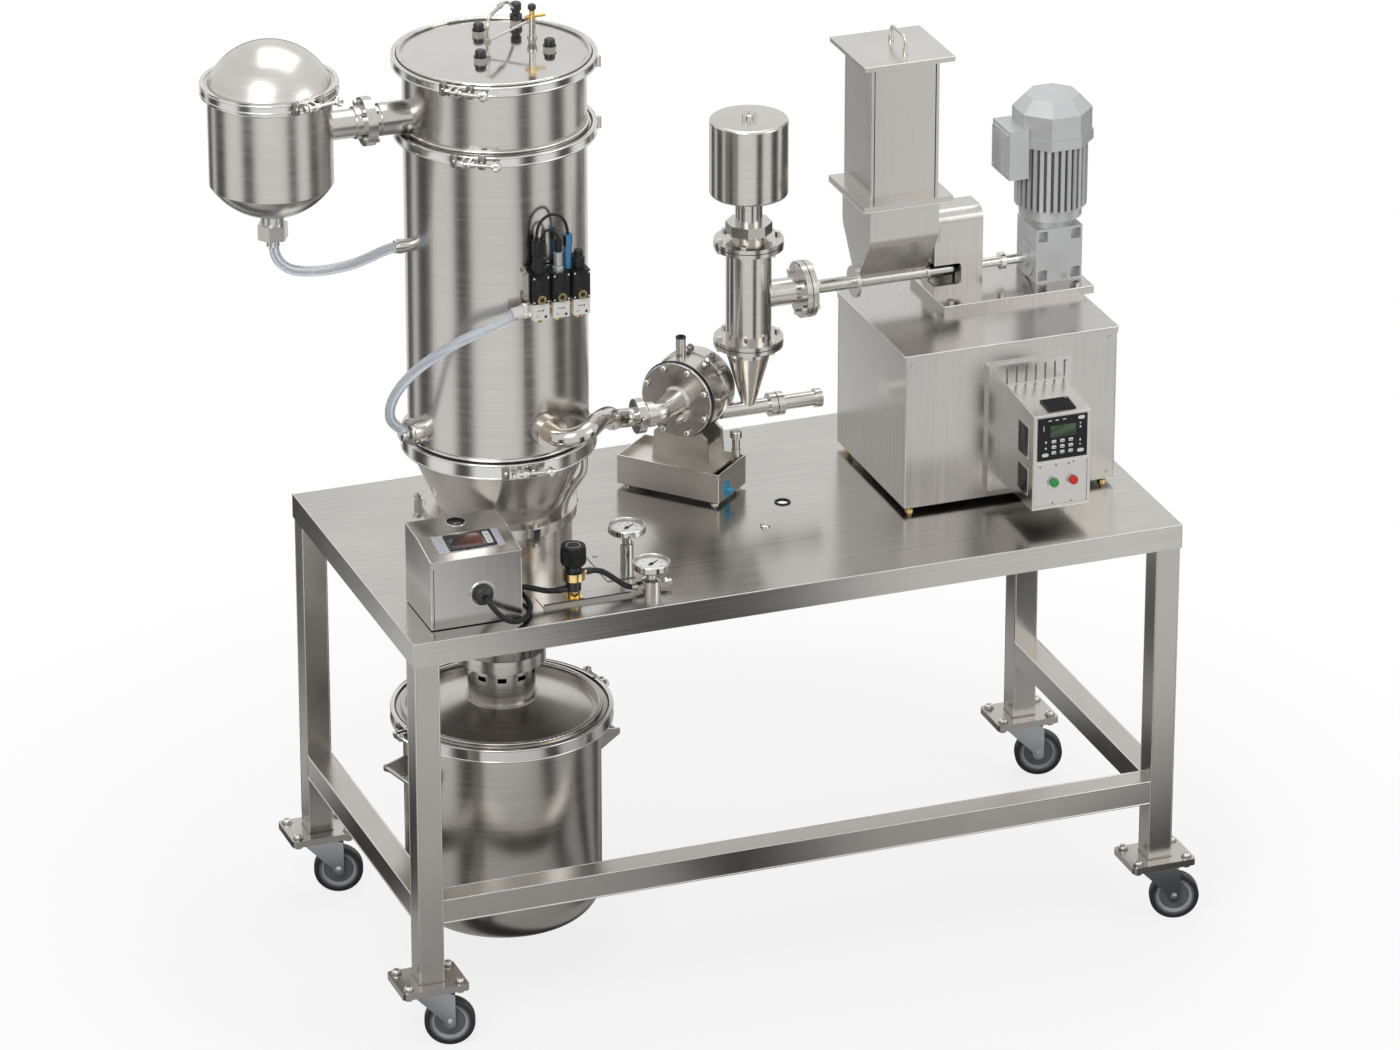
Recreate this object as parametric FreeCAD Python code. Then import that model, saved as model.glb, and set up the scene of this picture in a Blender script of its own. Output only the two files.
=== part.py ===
"""Jet mill on a mobile table: filter tower, separator, mill, screw feeder and controls.

Millimetres. X runs along the table's front edge to the right, Y to the back, Z up from the floor.
Everything is placed from the table's front left corner and moved to the base centre at the end.
"""
import FreeCAD, Part
import math
import os

V = FreeCAD.Vector
UP = V(0, 0, 1)

# Fits
MOVE_GAP = 0.5
RUN_FIT = 0.05
RIM_GAP = 0.3

# Flange bolts
BOLT_R = 3.0
BOLT_ACROSS = 11.0
BOLT_HEAD = 6.0

# Table
TABLE_L = 1600.0
TABLE_W = 760.0
TABLE_H = 875.0
SHEET = 3.0
SKIRT = 50.0
LEG = 50.0
LEG_WALL = 3.0
RAIL_Z = 269.0
FOOT_PLATE_L = 136.0
FOOT_PLATE_W = 106.0
FOOT_PLATE_T = 8.0
CABLE_HOLE_X = 900.0
CABLE_HOLE_Y = 379.0
CABLE_HOLE_R = 13.0

# Casters
CASTER_H = 135.0
CASTER_PLATE_T = 6.0
STUD_R = 4.0
STUD_INSET = 15.0
NUT_T = 7.0
NUT_ACROSS = 14.0
KING_PIN_R = 7.0
CROWN_R = 33.0
CROWN_T = 11.0
CHEEK_T = 3.0
WHEEL_R = 50.0
TYRE_T = 10.0
WHEEL_W = 25.0
WHEEL_TRAIL = 41.0
TRAIL_TURN = -17.8
AXLE_R = 4.0

# Filter tower
TOWER_X = 292.0
TOWER_Y = 338.0
TOWER_R = 176.0
TOWER_WALL = 2.5
COLLAR_R = 142.0
COLLAR_TOP = TABLE_H + 106.0
FLANGE_R = 151.0
FLANGE_T = 10.0
CONE_END_R = 121.0
CONE_JOINT_Z = COLLAR_TOP + 151.5
HEAD_JOINT_Z = CONE_JOINT_Z + 640.0
LID_JOINT_Z = HEAD_JOINT_Z + 141.0
LID_DISC_R = 175.0
LID_TOP = LID_JOINT_Z + 7.5
NECK_R = 62.0
NECK_WALL = 2.5
COUPLING_R = 88.0
COUPLING_Z = TABLE_H - 204.0

# Band clamps
BAND_T = 2.5
BAND_GRIP = 8.0
BAND_SPLIT = 9.0
LUG_T = 5.0
LUG_OUT = 14.0
LUG_H = 16.0
SCREW_R = 3.2
SCREW_REACH = 56.0
CONE_BAND_R = 190.0
CONE_BAND_HALF = 14.5
HEAD_BAND_R = 195.0
HEAD_BAND_HALF = 9.5
LID_BAND_R = 196.0
LID_BAND_HALF = 8.5
LID_CLOSURE = -130.0
HEAD_CLOSURE = -124.0
CONE_CLOSURE = -97.0

# Ports on the tower
MILL_PORT_TURN = -77.0
MILL_PORT_Z = CONE_JOINT_Z + 70.5
MILL_PORT_R = 30.0
PULSE_PORT_TURN = -167.5
PULSE_PORT_Z = CONE_JOINT_Z + 49.5
PULSE_PORT_R = 26.0
DRAIN_PORT_Z = CONE_JOINT_Z + 419.5

# Separator vessel
SEP_X = TOWER_X - 447.0
SEP_Y = TOWER_Y
SEP_R = 118.0
SEP_WALL = 2.0
SEP_JOINT_Z = LID_JOINT_Z - 1.0
SEP_BAND_R = 131.0
SEP_BAND_HALF = 11.5
SEP_TANGENT_Z = SEP_JOINT_Z - 192.5
SEP_DISH = 66.0
SEP_DOME = 78.0
SEP_CLOSURE = -74.0
SEP_NECK_R = 21.5
SEP_NUT_ACROSS = 52.0
SEP_NUT_T = 30.0
NOZZLE_Z = LID_JOINT_Z - 97.5
NOZZLE_R = 27.5
NOZZLE_WALL = 2.0
NOZZLE_JOINT_X = TOWER_X - TOWER_R - 81.0
NOZZLE_FLANGE_R = 47.0
NOZZLE_FLANGE_T = 9.5
SLEEVE_R = 31.5

# Collecting bin
BIN_R = 196.0
BIN_WALL = 2.5
BIN_DEPTH = 431.0
BIN_CORNER_R = 60.0
BIN_JOINT_Z = COUPLING_Z - 130.0
BIN_BOTTOM_Z = BIN_JOINT_Z - BIN_DEPTH
BIN_BAND_R = 220.0
BIN_BAND_HALF = 13.0
BIN_LID_RISE = 30.0
BIN_CLOSURES = (-168.0, 12.0)
BIN_HANDLE_TURNS = (13.0, 193.0)
BIN_HANDLE_Z = BIN_JOINT_Z - 89.0
BIN_HANDLE_L = 116.0
BIN_HANDLE_OUT = 44.0
HANDLE_ROD_R = 4.5
HANDLE_PLATE_T = 4.0
BIN_NECK_R = 67.0
NECK_SLOTS = 10

# Hoses and pipes
CLEAR_HOSE_R = 10.0
CABLE_R = 5.25
AIR_HOSE_R = 5.5
OUTLET_R = 19.0
OUTLET_WALL = 2.0

# Valves
VALVE_X = TOWER_X + 16.5
VALVE_PITCH = 41.0
VALVE_FRONT_Y = TOWER_Y - TOWER_R - 37.0
COIL_W = 35.0
COIL_TOP = CONE_JOINT_Z + 408.5
COIL_H = 57.0
BLOCK_H = 33.0
PLUG_OFFSET = 19.0

# Mill
MILL_X = 739.0
MILL_Y = 522.0
MILL_TURN = -48.0
STAND_L = 228.0
STAND_W = 118.0
STAND_Z = TABLE_H + 8.0
STAND_H = 61.0
STAND_WALL = 3.0
MILL_Z = STAND_Z + 187.0
DRUM_R = 81.0
DRUM_L = 112.0
COVER_FRONT = 22.0
COVER_R = 77.5
COVER_T = 9.0
NOSE_L = 56.0
NOSE_R = 20.0
UNION_R = 30.0
UNION_X = MILL_X - 113.0

# Feed line
FEED_Y = 508.0
FEED_Z = TABLE_H + 395.0
COLUMN_X = 876.0
COLUMN_R = 45.5
COLUMN_WALL = 2.0
COLUMN_FLANGE_R = 69.5
COLUMN_FLANGE_T = 9.0
COLUMN_LOW_Z = FEED_Z - 92.0
COLUMN_TOP_Z = FEED_Z + 116.0
CANISTER_R = 78.0
CANISTER_LOW_Z = COLUMN_TOP_Z + 104.0
CANISTER_TOP_Z = CANISTER_LOW_Z + 158.0
VENT_NECK_R = 27.0
SIDE_PORT_R = 27.0
SIDE_JOINT_X = COLUMN_X + 116.5
SIDE_FLANGE_R = 57.0
SIDE_FLANGE_T = 12.0
INJECTOR_Z = MILL_Z - 39.0
INJECTOR_R = 15.0
INJECTOR_JOINT_X = COLUMN_X + 58.0
INJECTOR_END_X = COLUMN_X + 154.0
INJECTOR_BORE_R = 3.0
INLET_R = 8.0
INLET_DEPTH = 40.0
FEED_TUBE_R = 13.5
FEED_TUBE_BORE_R = 11.8
TUBE_RING_R = 32.5
TUBE_STOP_R = 18.0
FEED_TUBE_END_X = SIDE_JOINT_X + 316.5

# Feeder
HOPPER_X = SIDE_JOINT_X + 184.5
HOPPER_W = 142.0
HOPPER_WALL = 2.0
HOPPER_FLANGE_Z = FEED_Z + 183.0
HOPPER_TOP_Z = HOPPER_FLANGE_Z + 303.0
HOPPER_FLANGE_W = 190.0
HOPPER_FLANGE_T = 12.0
LID_T = 10.0
TROUGH_L = 146.0
TROUGH_HALF = 75.0
TROUGH_FOOT_HALF = 14.0
TROUGH_WALL = 4.0
TROUGH_BEND = 40.0
TROUGH_KNEE_Z = FEED_Z + 104.0
TROUGH_FOOT_Z = FEED_Z + 17.0
SCREW_FLIGHT_R = 11.0
SCREW_CORE_R = 5.0
SCREW_PITCH = 32.0
SHAFT_R = 10.0
COVER_LEFT_X = HOPPER_X + 82.0
COVER_RIGHT_X = COVER_LEFT_X + 104.0
COVER_TOP_Z = FEED_Z + 135.0
COVER_DEPTH = 66.0
GEARBOX_LEFT_X = COVER_RIGHT_X + 109.0
GEARBOX_W = 99.0
GEARBOX_D = 100.0
GEARBOX_H = 115.0
HUB_T = 9.0
HUB_R = 19.0
MOTOR_R = 73.0
MOTOR_FIN = 5.0
MOTOR_FINS = 32
PLATE_LEFT_X = COVER_LEFT_X - 4.0
PLATE_RIGHT_X = PLATE_LEFT_X + 323.0
PLATE_FRONT_Y = FEED_Y - 97.0
PLATE_BACK_Y = FEED_Y + 83.0
PLATE_T = 16.0

# Cabinet and controller
CABINET_LEFT_X = HOPPER_X - 73.0
CABINET_RIGHT_X = CABINET_LEFT_X + 450.0
CABINET_FRONT_Y = FEED_Y - 270.0
CABINET_BACK_Y = CABINET_FRONT_Y + 362.0
CABINET_FOOT = 12.0
CABINET_TOP_Z = TABLE_H + 339.0
CABINET_WALL = 2.0
SINK_LEFT_X = CABINET_LEFT_X + 172.0
SINK_RIGHT_X = SINK_LEFT_X + 176.0
SINK_LOW_Z = TABLE_H + 29.0
SINK_TOP_Z = SINK_LOW_Z + 266.0
SINK_T = 12.0
CASE_LEFT_X = SINK_LEFT_X + 38.0
CASE_RIGHT_X = CASE_LEFT_X + 123.0
CASE_FRONT_Y = CABINET_FRONT_Y - 150.0
CASE_LOW_Z = SINK_LOW_Z + 8.0
CASE_FRONT_TOP_Z = CASE_LOW_Z + 201.0
CASE_BACK_TOP_Z = CASE_FRONT_TOP_Z + 14.0
CASE_WALL = 3.0
KEY_PANEL_LOW_Z = CASE_LOW_Z + 105.0
BUTTON_R = 9.0
BUTTON_TRAVEL = 3.0
BUTTON_Z = CASE_LOW_Z + 56.0
GREEN_X = CASE_LEFT_X + 45.0
RED_X = GREEN_X + 41.0

# Control box
BOX_LEFT_X = 52.0
BOX_RIGHT_X = BOX_LEFT_X + 184.0
BOX_FRONT_Y = 45.0
BOX_BACK_Y = BOX_FRONT_Y + 152.0
BOX_LOW_Z = TABLE_H + 2.0
BOX_FRONT_TOP_Z = BOX_LOW_Z + 141.0
BOX_TOP_Z = BOX_FRONT_TOP_Z + 22.0
BOX_LIP = 14.0
BOX_WALL = 2.0
BOX_BUTTON_X = BOX_LEFT_X + 94.0
BOX_BUTTON_Y = BOX_BACK_Y - 26.0
BOX_BUTTON_R = 17.0
GLAND_X = BOX_LEFT_X + 103.0
GLAND_Z = BOX_LOW_Z + 61.5
GLAND_R = 24.5
SIDE_ENTRY_R = 10.0
SIDE_ENTRY_T = 12.0
CABLE_ENTRY = (142.0, BOX_LOW_Z + 17.0)
AIR_ENTRY = (109.0, BOX_LOW_Z + 33.0)

# Air service
REG_X = 358.0
REG_Y = 95.0
KNOB_R = 24.0
KNOB_H = 41.0
FRONT_GAUGE = (510.6, 74.8, TABLE_H + 47.0)
BACK_GAUGE = (502.0, 189.0, TABLE_H + 77.0)
FRONT_POST_R = 19.0
BACK_POST_R = 13.0
GAUGE_R = 37.5
GAUGE_H = 15.0
NEEDLE_L = 22.0
NEEDLE_PIN_R = 1.5

LEG_CENTRE = SHEET + LEG / 2
CORNERS = {
    "front_left": (LEG_CENTRE, LEG_CENTRE),
    "front_right": (TABLE_L - LEG_CENTRE, LEG_CENTRE),
    "back_left": (LEG_CENTRE, TABLE_W - LEG_CENTRE),
    "back_right": (TABLE_L - LEG_CENTRE, TABLE_W - LEG_CENTRE),
}
TOWER = (TOWER_X, TOWER_Y, 0)
NODES = {}


def node(name, *solids):
    """Keep the named piece's solids."""
    NODES[name] = list(solids)


def block(low, high):
    """Rectangular block between two opposite corners."""
    return Part.makeBox(high[0] - low[0], high[1] - low[1], high[2] - low[2], V(*low))


def bar(radius, start, end):
    """Round bar between two points."""
    span = V(*end) - V(*start)
    return Part.makeCylinder(radius, span.Length, V(*start), span)


def ring(outer, inner, start, end):
    """Round tube between two points."""
    return bar(outer, start, end).cut(bar(inner, start, end))


def hexagon(across, start, end):
    """Hexagonal bar of a width across flats between two points."""
    span = V(*end) - V(*start)
    corner = across / math.sqrt(3)
    angles = [math.radians(60 * i) for i in range(7)]
    points = [V(corner * math.cos(a), corner * math.sin(a), 0) for a in angles]
    solid = Part.Face(Part.makePolygon(points)).extrude(V(0, 0, span.Length))
    solid.Placement = FreeCAD.Placement(V(*start), FreeCAD.Rotation(UP, span))
    return solid


def outline(corners, place):
    """Closed face through flat corners; a third number rounds that corner."""
    count = len(corners)
    ends = []
    for i, corner in enumerate(corners):
        here = V(corner[0], corner[1], 0)
        if len(corner) == 2:
            ends.append((here, None, here))
            continue
        back = V(corners[i - 1][0], corners[i - 1][1], 0) - here
        ahead = V(corners[(i + 1) % count][0], corners[(i + 1) % count][1], 0) - here
        half = back.getAngle(ahead) / 2
        back.normalize()
        ahead.normalize()
        middle = back + ahead
        middle.normalize()
        reach = corner[2] / math.tan(half)
        top = here + middle * (corner[2] / math.sin(half) - corner[2])
        ends.append((here + back * reach, top, here + ahead * reach))
    edges = []
    for i, (start, top, stop) in enumerate(ends):
        if top is not None:
            edges.append(Part.Arc(place(start), place(top), place(stop)).toShape())
        follow = ends[(i + 1) % count][0]
        if (follow - stop).Length > 1e-6:
            edges.append(Part.LineSegment(place(stop), place(follow)).toShape())
    return Part.Face(Part.Wire(edges))


def turned(profile, foot, axis=(0, 0, 1)):
    """Solid of revolution from (radius, height) corners about an axis through foot."""
    face = outline(profile, lambda p: V(p.x, 0, p.y))
    solid = face.revolve(V(0, 0, 0), UP, 360)
    solid.Placement = FreeCAD.Placement(V(*foot), FreeCAD.Rotation(UP, V(*axis)))
    return solid


def prism(corners, low, high, axis):
    """Outline extruded along x, y or z from low to high."""
    places = {
        "x": lambda p: V(low, p.x, p.y),
        "y": lambda p: V(p.x, low, p.y),
        "z": lambda p: V(p.x, p.y, low),
    }
    ways = {"x": V(high - low, 0, 0), "y": V(0, high - low, 0), "z": V(0, 0, high - low)}
    return outline(corners, places[axis]).extrude(ways[axis])


def polygon(count, across, z):
    """Regular polygon wire of a width across flats about the vertical axis."""
    corner = across / 2 / math.cos(math.pi / count)
    angles = [2 * math.pi * (i + 0.5) / count for i in range(count + 1)]
    return Part.makePolygon([V(corner * math.cos(a), corner * math.sin(a), z) for a in angles])


def cap(radius, rise, wall, foot):
    """Spherical shell cap over a circle; a negative rise makes a dished bottom."""
    half = radius * radius / (2 * abs(rise)) - abs(rise) / 2
    ball = half + abs(rise)
    side = 1 if rise > 0 else -1
    low = math.atan2(half, radius)
    lean = (low + math.pi / 2) / 2
    inner = ball - wall
    inner_low = math.asin(half / inner)
    inner_lean = (inner_low + math.pi / 2) / 2

    def at(size, angle):
        return V(size * math.cos(angle), 0, side * (size * math.sin(angle) - half))

    edges = [
        Part.Arc(at(ball, low), at(ball, lean), V(0, 0, rise)).toShape(),
        Part.LineSegment(V(0, 0, rise), V(0, 0, rise - side * wall)).toShape(),
        Part.Arc(V(0, 0, rise - side * wall), at(inner, inner_lean), at(inner, inner_low)).toShape(),
        Part.LineSegment(at(inner, inner_low), at(ball, low)).toShape(),
    ]
    solid = Part.Face(Part.Wire(edges)).revolve(V(0, 0, 0), UP, 360)
    solid.translate(V(*foot))
    return solid


def route(points):
    """Path of straight runs joined by tangent arcs, each as large as its two runs allow."""
    places = [V(*p) for p in points]
    edges = []
    radii = []
    start = places[0]
    for before, here, after in zip(places, places[1:], places[2:]):
        back = before - here
        ahead = after - here
        half = (math.pi - back.getAngle(ahead)) / 2
        run = 0.45 * min(back.Length, ahead.Length)
        radii.append(run / math.tan(half))
        back.normalize()
        ahead.normalize()
        middle = back + ahead
        middle.normalize()
        top = here + middle * (radii[-1] / math.cos(half) - radii[-1])
        edges.append(Part.LineSegment(start, here + back * run).toShape())
        edges.append(Part.Arc(here + back * run, top, here + ahead * run).toShape())
        start = here + ahead * run
    edges.append(Part.LineSegment(start, places[-1]).toShape())
    return Part.Wire(edges), radii


def hose(name, radius, points):
    """Round hose along a route; prints its bend radii and how true its volume is."""
    path, radii = route(points)
    start = V(*points[0])
    circle = Part.makeCircle(radius, start, V(*points[1]) - start)
    solid = path.makePipeShell([Part.Wire([circle])], True, False)
    true = solid.Volume / (math.pi * radius * radius * path.Length)
    print(name, "radii", [round(r) for r in radii], "volume ratio", round(true, 4))
    return solid


def polar(centre, radius, turn, z):
    """Point at a radius and a turn in degrees about a centre in plan."""
    angle = math.radians(turn)
    return (centre[0] + radius * math.cos(angle), centre[1] + radius * math.sin(angle), z)


def turned_about(solid, turn, centre=(0, 0, 0)):
    """Copy of a solid turned about the vertical through a point."""
    copy = solid.copy()
    copy.rotate(V(*centre), UP, turn)
    return copy


def placed(solid, foot, turn):
    """Solid built about the origin, turned about the vertical and moved to its foot."""
    copy = turned_about(solid, turn)
    copy.translate(V(*foot))
    return copy


def fused(first, *others):
    """One solid from touching solids."""
    return first.multiFuse(list(others)).removeSplitter()


def bolt_ring(count, circle, centre, low, high, start=0.0):
    """Bolts through a flange pair: shank with a hexagonal head and nut, clear of the holes."""
    bolts = []
    for i in range(count):
        x, y, _ = polar(centre, circle, start + 360 * i / count, 0)
        head = hexagon(BOLT_ACROSS, (x, y, high), (x, y, high + BOLT_HEAD))
        nut = hexagon(BOLT_ACROSS, (x, y, low - BOLT_HEAD), (x, y, low))
        bolts.append(fused(bar(BOLT_R, (x, y, low), (x, y, high)), head, nut))
    return bolts


def table():
    """Top sheet with its welded skirt strips, and the welded frame of square tube."""
    under = TABLE_H - SHEET
    low = TABLE_H - SKIRT
    top = block((0, 0, under), (TABLE_L, TABLE_W, TABLE_H))
    for radius, x, y in ((CABLE_HOLE_R, CABLE_HOLE_X, CABLE_HOLE_Y), (NECK_R + MOVE_GAP, TOWER_X, TOWER_Y)):
        top = top.cut(bar(radius, (x, y, under), (x, y, TABLE_H)))
    strips = [
        block((0, 0, low), (TABLE_L, SHEET, under)),
        block((0, TABLE_W - SHEET, low), (TABLE_L, TABLE_W, under)),
        block((0, SHEET, low), (SHEET, TABLE_W - SHEET, under)),
        block((TABLE_L - SHEET, SHEET, low), (TABLE_L, TABLE_W - SHEET, under)),
    ]
    node("table_top", top, *strips)

    pieces = []
    half = LEG / 2
    for x, y in CORNERS.values():
        low = CASTER_H + FOOT_PLATE_T
        leg = block((x - half, y - half, low), (x + half, y + half, TABLE_H - SHEET))
        void = half - LEG_WALL
        leg = leg.cut(block((x - void, y - void, low), (x + void, y + void, TABLE_H - SHEET)))
        plate = foot_plate(x, y, CASTER_H, FOOT_PLATE_T)
        for sx, sy in stud_places(x, y):
            plate = plate.cut(bar(STUD_R + MOVE_GAP, (sx, sy, CASTER_H), (sx, sy, low)))
        pieces.append(fused(leg, plate))
    left = SHEET
    right = TABLE_L - SHEET
    pieces.append(tube_rail((left + LEG, SHEET), (right - LEG, SHEET + LEG), "x"))
    pieces.append(tube_rail((left, SHEET + LEG), (left + LEG, TABLE_W - SHEET - LEG), "y"))
    pieces.append(tube_rail((right - LEG, SHEET + LEG), (right, TABLE_W - SHEET - LEG), "y"))
    node("table_frame", *pieces)


def tube_rail(low, high, along):
    """Square tube rail between two corners in plan, hollow along its length."""
    rail = block((*low, RAIL_Z), (*high, RAIL_Z + LEG))
    wall = LEG_WALL
    foot = RAIL_Z + wall
    top = RAIL_Z + LEG - wall
    if along == "x":
        return rail.cut(block((low[0], low[1] + wall, foot), (high[0], high[1] - wall, top)))
    return rail.cut(block((low[0] + wall, low[1], foot), (high[0] - wall, high[1], top)))


def foot_plate(x, y, z, thick):
    """Plate with rounded corners, centred on a leg."""
    half_l = FOOT_PLATE_L / 2
    half_w = FOOT_PLATE_W / 2
    ways = ((-1, -1), (1, -1), (1, 1), (-1, 1))
    corners = [(x + i * half_l, y + j * half_w, STUD_INSET / 2) for i, j in ways]
    return prism(corners, z, z + thick, "z")


def stud_places(x, y):
    """The four stud centres of one foot plate."""
    reach_x = FOOT_PLATE_L / 2 - STUD_INSET
    reach_y = FOOT_PLATE_W / 2 - STUD_INSET
    return [(x + i * reach_x, y + j * reach_y) for i in (-1, 1) for j in (-1, 1)]


def casters():
    """Caster plates with studs and king pin, swivel forks and wheels."""
    under = CASTER_H - CASTER_PLATE_T
    crown_top = under - MOVE_GAP
    plates = []
    for name, (x, y) in CORNERS.items():
        parts = []
        for sx, sy in stud_places(x, y):
            parts.append(bar(STUD_R, (sx, sy, under - NUT_T), (sx, sy, CASTER_H + FOOT_PLATE_T + NUT_T + 3)))
            parts.append(hexagon(NUT_ACROSS, (sx, sy, under - NUT_T), (sx, sy, under)))
            over = CASTER_H + FOOT_PLATE_T
            parts.append(hexagon(NUT_ACROSS, (sx, sy, over), (sx, sy, over + NUT_T)))
        pin_low = crown_top - CROWN_T - MOVE_GAP
        parts.append(bar(KING_PIN_R, (x, y, pin_low), (x, y, under)))
        parts.append(bar(KING_PIN_R + 4, (x, y, pin_low - 4), (x, y, pin_low)))
        plates.append(fused(foot_plate(x, y, under, CASTER_PLATE_T), *parts))
        node("fork_" + name, placed(caster_fork(crown_top), (x, y, 0), TRAIL_TURN))
        wheel = [placed(s, (x, y, 0), TRAIL_TURN) for s in caster_wheel()]
        node("wheel_" + name, *wheel)
    node("caster_plates", *plates)


def caster_fork(crown_top):
    """Pressed fork about its swivel axis, trailing along +X, with the axle riveted in."""
    low = crown_top - CROWN_T
    crown = turned([
        (KING_PIN_R + RUN_FIT, low), (CROWN_R - 4, low), (CROWN_R, low + 4, 3),
        (CROWN_R, crown_top), (KING_PIN_R + RUN_FIT, crown_top)], (0, 0, 0))
    eye = 11.0
    side = [
        (-CROWN_R + 5, low + 3), (-CROWN_R + 5, low - 8), (WHEEL_TRAIL - eye - 2, WHEEL_R + 6),
        (WHEEL_TRAIL - eye, WHEEL_R - eye, eye - 1), (WHEEL_TRAIL + eye, WHEEL_R - eye, eye - 1),
        (WHEEL_TRAIL + eye, low - 6, 8), (CROWN_R - 6, low + 3)]
    inner = WHEEL_W / 2 + 2.5
    parts = []
    for sign in (-1, 1):
        y = sign * inner
        parts.append(prism(side, min(y, y + sign * CHEEK_T), max(y, y + sign * CHEEK_T), "y"))
    out = inner + CHEEK_T
    axle = bar(AXLE_R, (WHEEL_TRAIL, -out - 7, WHEEL_R), (WHEEL_TRAIL, out + 7, WHEEL_R))
    for sign in (-1, 1):
        end = sign * (out + 6)
        parts.append(hexagon(13, (WHEEL_TRAIL, sign * out, WHEEL_R), (WHEEL_TRAIL, end, WHEEL_R)))
    return fused(crown, axle, *parts)


def caster_wheel():
    """Hub with a thin web, and the rubber tyre round it, about the trailing axle."""
    rim = WHEEL_R - TYRE_T
    half = WHEEL_W / 2
    boss = half + 2.5 - MOVE_GAP
    hub = turned([
        (AXLE_R + RUN_FIT, -boss), (12, -boss), (14, -6), (rim - 6, -5), (rim - 4, -half + 1),
        (rim, -half + 1), (rim, half - 1), (rim - 4, half - 1), (rim - 6, 5), (14, 6), (12, boss),
        (AXLE_R + RUN_FIT, boss)],
        (WHEEL_TRAIL, 0, WHEEL_R), (0, 1, 0))
    tyre = turned([(rim, -half), (WHEEL_R, -half, 4), (WHEEL_R, half, 4), (rim, half)],
                  (WHEEL_TRAIL, 0, WHEEL_R), (0, 1, 0))
    return hub, tyre


def rim_radius(band_radius):
    """Radius of the rims that a band grips."""
    return band_radius - BAND_T - RIM_GAP


def band(centre, z, radius, half, closures, hinges=()):
    """Channel section band over a rim pair, split at each closure, with drilled lugs."""
    body = turned([
        (radius - BAND_GRIP, -half), (radius, -half), (radius, half), (radius - BAND_GRIP, half),
        (radius - BAND_GRIP, half - BAND_T), (radius - BAND_T, half - BAND_T),
        (radius - BAND_T, BAND_T - half), (radius - BAND_GRIP, BAND_T - half)], (centre[0], centre[1], z))
    for turn in closures:
        gap = block((radius - 2 * BAND_GRIP, -BAND_SPLIT / 2, -half), (radius + 1, BAND_SPLIT / 2, half))
        body = body.cut(placed(gap, (centre[0], centre[1], z), turn))
        for sign in (-1, 1):
            lug = prism([(-LUG_H / 2, -LUG_H / 2, 6), (-LUG_H / 2, LUG_H / 2, 6),
                         (LUG_OUT + 1.5, LUG_H / 2), (LUG_OUT + 1.5, -LUG_H / 2)], 0, LUG_T, "x")
            lug.translate(V(BAND_SPLIT / 2 if sign > 0 else -BAND_SPLIT / 2 - LUG_T, 0, 0))
            lug = lug.cut(bar(SCREW_R + RUN_FIT, (-30, 0, 0), (30, 0, 0)))
            body = body.fuse(placed(lug, polar(centre, radius + LUG_OUT, turn, z), turn + 90))
    for turn in hinges:
        x, y, _ = polar(centre, radius + 4, turn, z)
        body = body.fuse(bar(5, (x, y, z - half - 2), (x, y, z + half + 2)))
    return body.removeSplitter()


def clamp_screw(centre, z, radius, turn):
    """Closure screw along the band's tangent: head, shank and four-lobed knob."""
    end = BAND_SPLIT / 2 + LUG_T + MOVE_GAP
    parts = [
        hexagon(11, (-end - 7, 0, 0), (-end, 0, 0)),
        bar(6, (end, 0, 0), (end + 6, 0, 0)),
        bar(6, (SCREW_REACH - 6, 0, 0), (SCREW_REACH + 7, 0, 0)),
    ]
    for i in range(4):
        lean = math.radians(90 * i + 45)
        y = 6.5 * math.cos(lean)
        h = 6.5 * math.sin(lean)
        parts.append(bar(4.2, (SCREW_REACH, y, h), (SCREW_REACH + 6, y, h)))
    screw = fused(bar(SCREW_R, (-end - 7, 0, 0), (SCREW_REACH, 0, 0)), *parts)
    return placed(screw, polar(centre, radius + LUG_OUT, turn, z), turn + 90)


def rim(centre, z_joint, band_radius, half, inner, side):
    """Ferrule ring on one side of a band's joint."""
    end = z_joint + side * (half - BAND_T)
    low = min(z_joint, end)
    high = max(z_joint, end)
    return ring(rim_radius(band_radius), inner, (centre[0], centre[1], low), (centre[0], centre[1], high))


def port(turn, z, radius, bore, reach):
    """Radial boss on the tower, from inside the wall to its reach, and its bore."""
    inside = polar(TOWER, TOWER_R - TOWER_WALL - 6, turn, z)
    face = polar(TOWER, TOWER_R + reach, turn, z)
    deep = polar(TOWER, TOWER_R - 30, turn, z)
    return bar(radius, inside, face), bar(bore, deep, face)


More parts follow.
